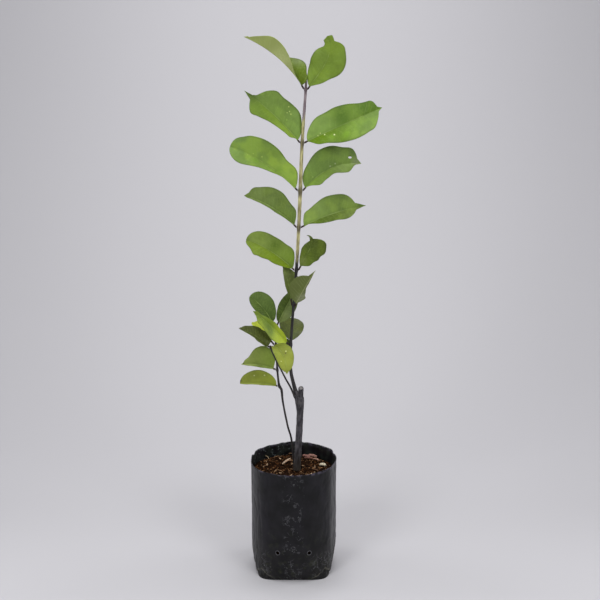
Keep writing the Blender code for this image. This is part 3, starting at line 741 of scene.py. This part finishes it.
stem_paths = {}
for name, knots, paint in (
    ("leader", LEADER, leader_finish()),
    ("basal_shoot", BASAL_SHOOT, shoot_finish("basal_shoot_bark", (27, 25, 28), (62, 57, 56))),
    ("side_twig", SIDE_TWIG, shoot_finish("side_twig_bark", (24, 22, 24), (58, 53, 52))),
):
    path = stem_paths[name] = with_nodes(smooth_path(knots, STEM_STEP), sorted(STEM_NODES[name]))
    tip = path[-1] * [1, 1, 1, TIP_SHARE] + [0, 0, TIP_STEP, 0]
    fine = [along(path, z) for z in np.arange(path[0, 2], path[-1, 2], 0.9)] + [path[-1], tip]
    rows = limb_rows(np.array(fine), 18, stem_relief(STEM_NODES[name]))
    piece(f"{name}_bark", skin(name, rows, paint), f"{name}_bark", name)

# Leaves
# Leathery opposite leaves, each a thin blade on a short dark stalk. The midrib is sunk on the upper
# side and stands out below, side veins lift the blade into soft pleats, and the margin is wavy.

BLADE_STATIONS = 92
HALF_SHARES = [0.06, 0.15, 0.28, 0.42, 0.57, 0.72, 0.86, 0.965, 1]
BLADE_SHARES = np.array([-share for share in HALF_SHARES[::-1]] + [0] + HALF_SHARES)
CLEAR, BLADE_THICKNESS = 0.3, 0.42
STALK_RADIUS, STALK_FLATNESS = 0.85, 0.25
RIB_HEIGHT, RIB_WIDTH, GROOVE = 0.75, 0.55, 0.22
BASE_WIDTH, BASE_TAPER = 1, 0.6  # least half-width at the stalk, and the share of it lost by the tip
RUFFLE, RUFFLES, RUFFLE_OFFSET = 0.8, 2, 0.23  # height, count, and how far one margin runs ahead
VEINS_TO_A_LEAF, VEIN_SLANT, VEIN_CURL, PLEAT = 13, 0.62, 0.012, 0.16
WIDEST_DOT = 3  # marks wider than this are soft patches on the side turned to the front, painted light and shade but for one dead tip
(TOP_PAIR, SECOND_PAIR, THIRD_PAIR, FOURTH_PAIR,
 FIFTH_PAIR, SIXTH_PAIR, SEVENTH_PAIR) = (("leader", z) for z in STEM_NODES["leader"])
SHOOT_TOP, SHOOT_PAIR, SHOOT_LOW, SHOOT_LOWEST = (("basal_shoot", z) for z in STEM_NODES["basal_shoot"])
TWIG_END = ("side_twig", STEM_NODES["side_twig"][0])


def leaf(name, seat, heading, rise, fall, length, above, below, base, end, **more):
    """One leaf: where it stands, the way its midrib runs and how its blade is turned.

    heading is seen from above: 0 right, 90 back, 180 left, 270 front. The midrib starts at the angle
    rise above level and loses fall by the tip, late if bend is over 1. above and below are the raised
    half and the other: breadth, where along it is widest, how full it is (fuller below 1), the width
    of its spike, and dents of (place, reach, depth) where the margin draws in, or swells if depth is
    below 0. spike is the share of the length that the tip's spike takes, and taper the part that comes
    to a point. face turns the blade up towards the front, and it gains twist by the share twist_by of
    the way to the tip. fold lifts both halves. base and end are the upper side's colours at stalk and
    tip, partly the leaf's own green and partly painted light and shade, low the same for the half that
    isn't raised, its difference from the raised half painted light and shade across the fold, and under
    is the underside's. marks are (along, across, size, colour), the wide green and pale ones painted
    light and shade and the rest spots and dead tissue, and holes (along, across, radius, squash), in
    millimetres.
    """
    values = dict(
        bend=1, stalk=4, face=60, twist=0, twist_by=1, fold=16, spike=0.05, taper=0,
        under=(140, 156, 96), low=None, marks=(), holes=(),
    )
    values.update(more)
    values["taper"] = values["taper"] or values["spike"]
    stem, at = seat
    return SimpleNamespace(name=name, stem=stem, at=at, heading=heading, rise=rise, fall=fall,
                           length=length, halves=(above, below), base=base, end=end, **values)


# Each leaf's colours are partly its own green and partly the light and shade it shows, painted in.
LEAVES = (
    leaf("left_leaf_1", TOP_PAIR, 184, 61, 38, 82.5, (20, 0.37, 0.6, 1.8, (0.09, 0.06, 0.2),
         (0.25, 0.12, -0.05), (0.93, 0.08, 0.6)), (16.5, 0.64, 0.9, 2.4, (0.5, 0.15, 0.08), (0.86, 0.1, 0.1)),
         (90, 112, 16), (110, 126, 50), stalk=5, bend=0.8, face=75, twist=-100, twist_by=0.4, fold=38,
         spike=0.04, under=(166, 178, 104), marks=((36, 0, 20, (190, 198, 136)),)),
    leaf("right_leaf_1", TOP_PAIR, -14, 53, -72, 61, (17.2, 0.57, 0.45, 5.8, (0.83, 0.05, 0.3)),
         (25, 0.66, 0.6, 6.5, (0.33, 0.12, 0.15), (0.84, 0.06, -0.2)), (124, 152, 56), (120, 146, 56), bend=3,
         face=75, fold=8, spike=0.1, taper=0.03),
    leaf("left_leaf_2", SECOND_PAIR, 186, 50, 14, 79.5, (21, 0.54, 0.44, 1.6, (0.85, 0.055, 0.6),
         (0.66, 0.09, -0.17), (0.22, 0.18, -0.28)), (18, 0.8, 0.5, 5, (0.14, 0.16, -1.3), (0.06, 0.08, -1.8),
         (0.78, 0.08, -0.22)), (120, 152, 66), (112, 140, 56), spike=0.12, low=((142, 172, 64),
         (108, 134, 50)), marks=((73, 0, 16, (72, 88, 46)), (32, 18, 0.9, (182, 198, 110)),
         (28, 15, 0.8, (190, 204, 120)), (29, 12, 0.8, (178, 196, 104)), (25, 14, 1.1, (176, 196, 100)),
         (24, 6, 1.2, (138, 172, 72)))),
    leaf("right_leaf_2", SECOND_PAIR, -8, 26, 2, 90, (19.8, 0.53, 0.42, 3, (0.16, 0.18, -0.3),
         (0.46, 0.12, -0.06), (0.76, 0.1, 0.08), (0.93, 0.06, -0.35)), (27, 0.66, 0.5, 3, (0.1, 0.08, -0.3),
         (0.86, 0.06, -0.15)), (132, 164, 74), (84, 120, 16), low=((96, 128, 6), (112, 142, 64)),
         marks=((46, 9, 17, (82, 116, 26)), (44, -15, 8, (122, 160, 46)), (28, -9, 5, (122, 158, 48)),
         (20.5, -2, 1.1, (214, 224, 160)), (31, -8, 1.2, (222, 230, 170)), (16.5, 1.9, 0.9, (190, 206, 120)),
         (13, 0.6, 0.9, (186, 202, 118)))),
    leaf("left_leaf_3", THIRD_PAIR, 178, 45.5, 26, 86.5, (23, 0.62, 0.42, 0, (0.31, 0.06, 0.03),
         (0.1, 0.12, -0.45), (0.9, 0.06, 0.08)), (15, 0.82, 0.5, 0, (0.12, 0.14, 0.75), (0.75, 0.15, -0.08)),
         (146, 178, 70), (114, 144, 70), spike=0, marks=((54, -3, 6, (122, 160, 54)),
         (26, 4, 6, (126, 162, 60)), (65, -1, 0.8, (160, 184, 84)), (60, 3, 0.9, (166, 190, 92)),
         (50, 4.6, 1, (168, 190, 94)))),
    leaf("right_leaf_3", THIRD_PAIR, 6, 48, 56, 70.5, (24, 0.56, 0.5, 4.8, (0.92, 0.1, -0.35),
         (0.24, 0.1, 0.05), (0.74, 0.08, 0.05)), (12.5, 0.65, 0.6, 1.6, (0.18, 0.12, -1), (0.53, 0.12, 0.3),
         (0.78, 0.07, -0.1), (0.91, 0.06, 0.5)), (118, 148, 68), (100, 124, 62), stalk=4.5, bend=1.2,
         spike=0.06, low=((122, 154, 58), (118, 140, 70)), holes=((58.1, 6.5, 1.9, 0.62),),
         marks=((65, 1, 9, (134, 144, 102)), (36, 2.4, 1.2, (150, 166, 112)), (42, 3, 1.1, (150, 166, 112)),
         (14, 2.6, 0.9, (150, 172, 92)))),
    leaf("left_leaf_4", FOURTH_PAIR, 186, 46.5, 30, 66, (20.5, 0.56, 0.58, 4, (0.94, 0.08, -0.45),
         (0.1, 0.1, -0.35)), (3, 0.5, 0.58, 1.5), (100, 124, 52), (112, 132, 66)),
    leaf("right_leaf_4", FOURTH_PAIR, -6, 28, 17, 73, (20.5, 0.56, 0.48, 5, (0.06, 0.08, -0.35),
         (0.78, 0.12, -0.16)), (13, 0.75, 0.6, 3, (0.2, 0.14, -0.6), (0.55, 0.1, 0.12)), (134, 162, 76),
         (92, 116, 50), spike=0.14, low=((84, 108, 24), (94, 112, 46))),
    leaf("left_leaf_5", FIFTH_PAIR, 174, 42, 26, 62, (17.5, 0.6, 0.42, 0, (0.16, 0.16, -0.5),
         (0.6, 0.12, 0.06)), (14, 0.6, 0.5, 0, (0.45, 0.1, 0.14), (0.76, 0.06, -0.15), (0.9, 0.06, 0.12)),
         (118, 144, 52), (134, 154, 74), bend=1.4, stalk=3, spike=0, low=((112, 136, 10), (110, 132, 30)),
         marks=((31, 8, 13, (84, 108, 34)),)),
    leaf("right_leaf_5", FIFTH_PAIR, -16, 62, -140, 42.5, (8.5, 0.55, 0.6, 2.6), (22, 0.8, 0.35, 2,
         (0.1, 0.14, -0.9), (0.55, 0.08, 0.14), (0.78, 0.04, -0.15)), (98, 118, 42), (72, 86, 30), bend=6,
         stalk=5.5, face=75, fold=8, spike=0.18, marks=((7, 0, 9, (124, 138, 72)),)),
    leaf("high_left_leaf", SIXTH_PAIR, 144, 80, 18, 39, (13, 0.5, 0.6, 1.5), (4, 0.5, 0.6, 1), (104, 118, 60),
         (110, 122, 66), bend=1.5, stalk=8, face=40, fold=4),
    leaf("high_right_leaf", SIXTH_PAIR, 310, 57, 8, 55, (7.5, 0.24, 0.9, 1.2, (0.08, 0.08, -0.7),
         (0.42, 0.14, 0.35)), (17, 0.5, 0.7, 3.2, (0.5, 0.12, 0.05)), (108, 122, 60), (108, 120, 62), stalk=5,
         face=-25, fold=26, spike=0.18, under=(108, 120, 64), marks=((9, 6, 13, (156, 162, 126)),)),
    leaf("inner_left_leaf", SEVENTH_PAIR, 205, 51, 12, 58.5, (6, 0.42, 0.6, 3), (16, 0.42, 0.6, 3,
         (0.84, 0.08, -0.3)), (168, 188, 48), (112, 134, 52), stalk=5, face=62, spike=0.08,
         marks=((30, -5, 15, (80, 108, 40)),)),
    leaf("inner_right_leaf", SEVENTH_PAIR, 88, 38, 0, 33.5, (15.5, 0.58, 0.45, 2), (14.5, 0.58, 0.45, 2),
         (88, 96, 52), (86, 94, 50), stalk=5, face=10, under=(72, 80, 34)),
    leaf("shoot_top_left_leaf", SHOOT_TOP, 170, 63, 28, 40, (15.3, 0.58, 0.45, 0), (9.5, 0.6, 0.5, 0),
         (84, 108, 46), (98, 120, 60), stalk=4.5, spike=0, low=((68, 92, 26), (80, 100, 44))),
    leaf("shoot_top_right_leaf", SHOOT_TOP, 15, 64, 6, 42, (9, 0.5, 0.55, 0), (12.5, 0.5, 0.5, 0),
         (72, 92, 32), (84, 102, 48), stalk=4.5, spike=0, low=((120, 134, 76), (122, 138, 86))),
    leaf("shoot_left_leaf", SHOOT_PAIR, 175, 50, 12, 31, (10.5, 0.66, 0.7, 2), (5, 0.66, 0.7, 2),
         (212, 228, 76), (214, 228, 84), stalk=6.5),
    leaf("shoot_right_leaf", SHOOT_PAIR, 0, 12, 10, 15, (6, 0.5, 0.7, 2), (6, 0.5, 0.7, 2), (96, 112, 52),
         (92, 108, 50), stalk=2.5),
    leaf("low_left_leaf", SHOOT_LOW, 180, 22, 28, 38, (22.5, 0.4, 0.8, 1.2, (0.8, 0.1, 0.3),
         (0.08, 0.08, -0.6)), (3.2, 0.5, 0.5, 1), (122, 142, 58), (140, 154, 78), stalk=3,
         marks=((35, 1, 0.9, (46, 40, 32)),)),
    leaf("lowest_left_leaf", SHOOT_LOWEST, 180, 15, 23, 42.5, (15, 0.5, 0.5, 0), (2.6, 0.5, 0.5, 0),
         (146, 158, 58), (150, 160, 66), stalk=1.5, spike=0, marks=((42, 3, 3.2, (34, 28, 24)),
         (26, 8.3, 1, (196, 204, 140)), (15, 9.4, 1.2, (190, 200, 130)))),
    leaf("twig_left_leaf", TWIG_END, 190, 48, 27, 40.5, (12, 0.42, 0.55, 2, (0.1, 0.14, -0.9)),
         (7, 0.45, 0.6, 2, (0.86, 0.1, 0.3)), (84, 92, 40), (72, 78, 42), stalk=1, face=52, twist=-22,
         twist_by=0.4),
    leaf("twig_right_leaf", TWIG_END, 300, 20, 112, 47, (12, 0.5, 0.55, 2), (11, 0.6, 0.5, 2), (120, 130, 46),
         (158, 168, 70), stalk=5, face=10, marks=((22, 5, 1, (206, 214, 140)), (24, 3.6, 1.2, (96, 90, 50)),
         (32, -5.3, 0.9, (200, 208, 130)))),
)


def half_width(one, t, half):
    """Width of half a blade, t of the way from stalk to tip: half is 0 for the raised one, or 1."""
    breadth, widest, full, tip, *dents = one.halves[half]
    body = min(t / (1 - one.spike), 1)
    share = max(sin(pi * body ** (log(0.5) / log(widest))), 0) ** full
    for place, reach, depth in dents:
        share *= 1 - depth * exp(-(((t - place) / reach) ** 2))
    point = tip * min((1 - t) / one.taper, 1) * min(2 * t, 1) if one.spike else 0
    return max(breadth * share, point, BASE_WIDTH * (1 - BASE_TAPER * t))


def direction(one, t):
    """The midrib's direction at t, and the level line across it."""
    heading = radians(one.heading)
    pitch = radians(one.rise - one.fall * t**one.bend)
    ahead = (cos(heading) * cos(pitch), sin(heading) * cos(pitch), sin(pitch))
    return np.array(ahead), np.array([-sin(heading), cos(heading), 0])


def midrib(one, foot, stem_radius):
    """Stations down the stalk and blade: place, direction, the blade's own axes, and t (below 0 on
    the stalk, 0 to 1 on the blade)."""
    blade = [0.5 - 0.5 * cos(pi * k / BLADE_STATIONS) for k in range(BLADE_STATIONS + 1)]
    side = 1 if cos(radians(one.heading)) > 0 else -1
    start = radians(one.heading)
    place = np.array(foot) + np.array([cos(start), sin(start), 0]) * (stem_radius + CLEAR)
    stations, last = [], -1
    for t in [-1, -0.8, -0.6, -0.4, -0.2] + blade:
        reach = one.stalk if t <= 0 else one.length
        place = place + (t - last) * reach * direction(one, max((t + last) / 2, 0))[0]
        ahead, level = direction(one, max(t, 0))
        over = np.cross(ahead, level)
        roll = radians(one.face + one.twist * min(max(t, 0) / one.twist_by, 1))
        across = side * cos(roll) * level + sin(roll) * over
        normal = cos(roll) * over - side * sin(roll) * level
        stations.append((place, ahead, across, normal, t))
        last = t
    return stations


def pleats(one, t, reach):
    """How far the blade stands up between its side veins, where it is reach from the midrib."""
    curl = VEIN_SLANT * reach - VEIN_CURL * reach**2
    phase = (one.length * t - curl) / (one.length / VEINS_TO_A_LEAF)
    return PLEAT * abs(sin(pi * phase)) ** 0.7 * min(reach / 3, 1)


def blade_rows(one, station):
    """Upper and lower points of one row across the blade, with each one's place on the leaf."""
    place, ahead, across, normal, t = station
    lift = radians(one.fold)
    upper, lower, marks = [], [], []
    for share in BLADE_SHARES:
        width = half_width(one, t, 0 if share > 0 else 1)
        reach = abs(share) * width
        turns = RUFFLES * t + (RUFFLE_OFFSET if share > 0 else 0)
        ruffle = RUFFLE * sin(2 * pi * turns) * sin(pi * t)
        small = 0.25 * sin(9 * pi * t + 2 * (share > 0)) * share**4 * sin(pi * t)
        rise = reach * sin(lift) + ruffle * share**2 + small
        point = place + copysign(reach * cos(lift), share) * across + rise * normal
        near_rib = exp(-((reach / RIB_WIDTH) ** 2)) if width > 1.5 else float(share == 0)
        pleat = pleats(one, t, reach) * (1 - abs(share) ** 6)
        half = 0.5 * BLADE_THICKNESS * (1 - 0.45 * abs(share) ** 8)
        upper.append(point + normal * (half + pleat - GROOVE * near_rib))
        lower.append(point - normal * (half - pleat + RIB_HEIGHT * (1 - 0.8 * t) * near_rib))
        marks.append((t * one.length, copysign(reach, share)))
    return upper, lower, marks


def stalk_rows(one, station):
    """The same for a row round the stalk, square to the stem at its seat."""
    place, ahead, across, normal, t = station
    if t == -1:
        out = np.array([ahead[0], ahead[1], 0])
        out /= np.linalg.norm(out)
        across = across - out * np.dot(across, out)
        normal = normal - out * np.dot(normal, out)
    radius = STALK_RADIUS * (1.12 + 0.3 * max(-t - 0.6, 0))
    upper, lower, marks = [], [], []
    for share in BLADE_SHARES:
        angle = acos(max(min(share, 1), -1))
        aside = radius * cos(angle) * across
        rise = radius * max(sin(angle), STALK_FLATNESS) * normal
        upper.append(place + aside + rise)
        lower.append(place + aside - rise)
        marks.append((t * one.stalk, radius * share))
    return upper, lower, marks


def leaf_finish(one):
    """The leaf's two sides, read from its own map: its length along u and its breadth along v, both
    in tenths of a metre, with the midrib at 0.5."""
    green = Finish(f"{one.name}_skin", one.base, 0.5, 0.17)
    spot = green.node("ShaderNodeUVMap", uv_map="blade")
    down, out = spot.part(0) * 100, (spot.part(1) - 0.5) * 100
    off, t = abs(out), down / one.length
    widest = max(half[0] for half in one.halves)
    mottle, fine = green.cloud(14), green.cloud(2.2, 4)
    edge, below = green.attribute("edge"), green.attribute("below")
    spacing = one.length / VEINS_TO_A_LEAF
    strayed = down - (off * VEIN_SLANT - off * off * VEIN_CURL) + (green.cloud(15) - 0.5) * 7
    vein = abs((strayed * (pi / spacing)).sine()).step(0.42, 0) * off.step(widest, widest * 0.25)
    vein = vein * green.cloud(6).step(0.32, 0.62)
    rib = off.step(0.7, 0.25)
    shade = toned(one.base, 0.74)
    upper = green.mix(t.step(0.05, 0.85), one.base, one.end)
    # The half that isn't raised takes the low colours: painted light and shade across the fold.
    if one.low:
        upper = green.mix(out.step(0.2, -0.2), upper, green.mix(t.step(0.05, 0.85), *one.low))
    upper = green.layered(
        upper,
        (mottle.step(0.36, 0.7) * 0.42, shade),
        (green.cloud(19, 4).step(0.46, 0.66) * 0.34, toned(one.base, 1.16, 1.13, 0.98)),
        (fine.step(0.4, 0.75) * 0.12, (158, 180, 84)),
        (vein * 0.2, (150, 174, 90)),
        (off.step(2.4, 0.8) * t.step(0.9, 0.3) * 0.25, shade),
        (rib * t.step(1, 0.6) * green.cloud(8, 2).step(0.3, 0.7) * 0.5, (156, 178, 96)),
        (edge.step(0.86, 1) * 0.42, (66, 78, 44)),
    )
    under = green.layered(
        green.mix(mottle.step(0.35, 0.7) * 0.3, one.under, toned(one.under, 0.85)),
        (vein * 0.34, (176, 184, 128)),
        (rib * 0.6, (182, 186, 132)),
    )
    colour = green.mix(below, upper, under)
    # Wide marks are laid only on the side turned to the front, as painted patches of light and shade (one is
    # a dead tip); narrow ones are spots.
    front = below if one.face + one.twist < 0 else 1 - below
    for place, aside, size, tone in one.marks:
        away = ((down - place) * (down - place) + (out - aside) * (out - aside)) ** 0.5
        patch = away.step(size, 0) * fine.step(0.1, 0.6) * front * 0.8
        colour = green.mix(patch if size > WIDEST_DOT else away.step(size, 0.45 * size), colour, tone)
    colour = green.mix(down.step(1.2, -0.8), colour, (58, 44, 42))
    return green.done(colour, fine * 0.6 - vein * 0.5, 0.12, 0.35, mottle * 0.12 + below * 0.16 + 0.38)


def leaf_mesh(one):
    stem = along(stem_paths[one.stem], one.at)
    rows, marks = [], []
    for station in midrib(one, stem[:3], stem[3]):
        upper, lower, on_leaf = (stalk_rows if station[4] <= 0 else blade_rows)(one, station)
        rows.append(upper + lower[::-1])
        marks.append(on_leaf + on_leaf[::-1])
    mesh = skin(one.name, rows, leaf_finish(one))
    count = len(BLADE_SHARES)
    corners = np.empty(len(mesh.loops), np.int32)
    mesh.loops.foreach_get("vertex_index", corners)
    places = np.array(marks).reshape(-1, 2)[corners] / 100 + [0, 0.5]
    mesh.uv_layers.new(name="blade").data.foreach_set("uv", places.astype(np.float32).ravel())
    marked(mesh, "edge", np.tile(np.abs(np.concatenate([BLADE_SHARES, BLADE_SHARES[::-1]])), len(rows)))
    marked(mesh, "below", np.arange(len(mesh.polygons)) % (2 * count) >= count, "FACE")
    shape = bmesh.new()
    shape.from_mesh(mesh)
    bmesh.ops.recalc_face_normals(shape, faces=shape.faces)
    shape.to_mesh(mesh)
    shape.free()
    return mesh


def eaten(one, mesh, along_blade, aside, radius, squash):
    """The blade's mesh with the oval hole that an insect ate through it."""
    stem = along(stem_paths[one.stem], one.at)
    stations = [station for station in midrib(one, stem[:3], stem[3]) if station[4] > 0]
    station = min(stations, key=lambda item: abs(item[4] * one.length - along_blade))
    place, _, across, normal, _ = station
    lift = radians(one.fold)
    centre = place + aside * cos(lift) * across + abs(aside) * sin(lift) * normal
    return drilled(mesh, Vector(centre), Vector(normal), radius, 3, squash)


for one in LEAVES:
    mesh = leaf_mesh(one)
    for hole in one.holes:
        mesh = eaten(one, mesh, *hole)
    piece(f"{one.name}_blade", mesh, "leaf_green", one.name)

# Studio
# A pale floor that curves up into a backdrop, painted darker towards the sides as painted shade and
# lighter in front as painted light, large soft lights, and the camera a little above the plant and
# looking down at it.

CAMERA_PLACE, CAMERA_PITCH, CAMERA_LENS = (0.0077, -1.379, 0.692), 14.75, 75
SWEEP_FRONT, SWEEP_BACK, SWEEP_RADIUS, SWEEP_TOP, SWEEP_HALF = -3, 1.3, 0.9, 3.2, 3.5


def sweep_finish():
    """Pale paper with painted shade that darkens it towards the sides behind the plant and painted light in
    front, and is clear seen from behind.
    """
    paper = Finish("studio_paper", (190, 189, 193), 0.9, 0)
    # Painted shade towards the sides, and painted light on the floor in front.
    behind = paper.mix(abs(paper.place.part(0)).step(0.05, 0.75), (190, 189, 193), (172, 171, 175))
    front = paper.place.part(1).step(0.2, -0.15)
    paper.link("Base Color", paper.mix(front, behind, (198, 197, 201)))
    from_behind = paper.node("ShaderNodeNewGeometry", output="Backfacing")
    opaque, clear = Wave(paper, paper.shader.outputs["BSDF"]), paper.node("ShaderNodeBsdfTransparent")
    seen = paper.node("ShaderNodeMixShader", {0: from_behind, 1: opaque, 2: clear})
    paper.tree.links.new(seen.socket, paper.tree.nodes["Material Output"].inputs["Surface"])
    return paper.material


profile = [(SWEEP_FRONT, 0), (SWEEP_BACK - SWEEP_RADIUS, 0)]
for step in range(1, 17):
    turn = 0.5 * pi * step / 16
    depth = SWEEP_BACK - SWEEP_RADIUS + SWEEP_RADIUS * sin(turn)
    profile.append((depth, SWEEP_RADIUS * (1 - cos(turn))))
profile.append((SWEEP_BACK, SWEEP_TOP))
points = [(x, y, z) for y, z in profile for x in (-SWEEP_HALF, SWEEP_HALF)]
faces = [(2 * i, 2 * i + 1, 2 * i + 3, 2 * i + 2) for i in range(len(profile) - 1)]
sweep_mesh = bpy.data.meshes.new("studio_sweep")
sweep_mesh.from_pydata(points, [], faces)
sweep_mesh.shade_smooth()
sweep_mesh.materials.append(sweep_finish())
sweep = placed("studio_sweep", sweep_mesh)


def soft_light(name, place, target, size, power):
    lamp = bpy.data.lights.new(name, "AREA")
    lamp.shape, lamp.size, lamp.energy = "DISK", size, power
    made = placed(name, lamp)
    made.location = place
    made.rotation_mode = "QUATERNION"
    made.rotation_quaternion = (Vector(target) - Vector(place)).to_track_quat("-Z", "Y")


for lamp in (
    ("overhead", (0, -0.1, 2.1), (0, 0, 0.2), 1.5, 21),
    ("front_left", (-1.1, -1.7, 1.5), (0, 0, 0.3), 0.9, 17),
    ("front_right", (1.2, -1.6, 1.3), (0, 0, 0.3), 0.9, 13),
    ("side_left", (-1.3, 0.35, 0.7), (0, 0, 0.25), 0.7, 5),
    ("side_right", (1.3, 0.35, 0.7), (0, 0, 0.25), 0.7, 5),
    ("backdrop", (0, 0.35, 1.5), (0, 1.3, 0.2), 0.5, 5),
):
    soft_light(*lamp)

world = bpy.data.worlds.new("studio_air")
world.use_nodes = True
air = Board(world.node_tree)
air_light = world.node_tree.nodes["Background"]
air_light.inputs["Color"].default_value = linear(232, 232, 238)
looked_at = air.node("ShaderNodeLightPath", output="Is Camera Ray")
air.tree.links.new((looked_at * 0.55 + 0.12).socket, air_light.inputs["Strength"])
bpy.context.scene.world = world
bpy.context.scene.view_settings.view_transform = "Standard"

lens = bpy.data.cameras.new("camera")
lens.lens, lens.sensor_width = CAMERA_LENS, 36
camera = placed("camera", lens)
camera.location = CAMERA_PLACE
camera.rotation_euler = (radians(90 - CAMERA_PITCH), 0, 0)
bpy.context.scene.camera = camera
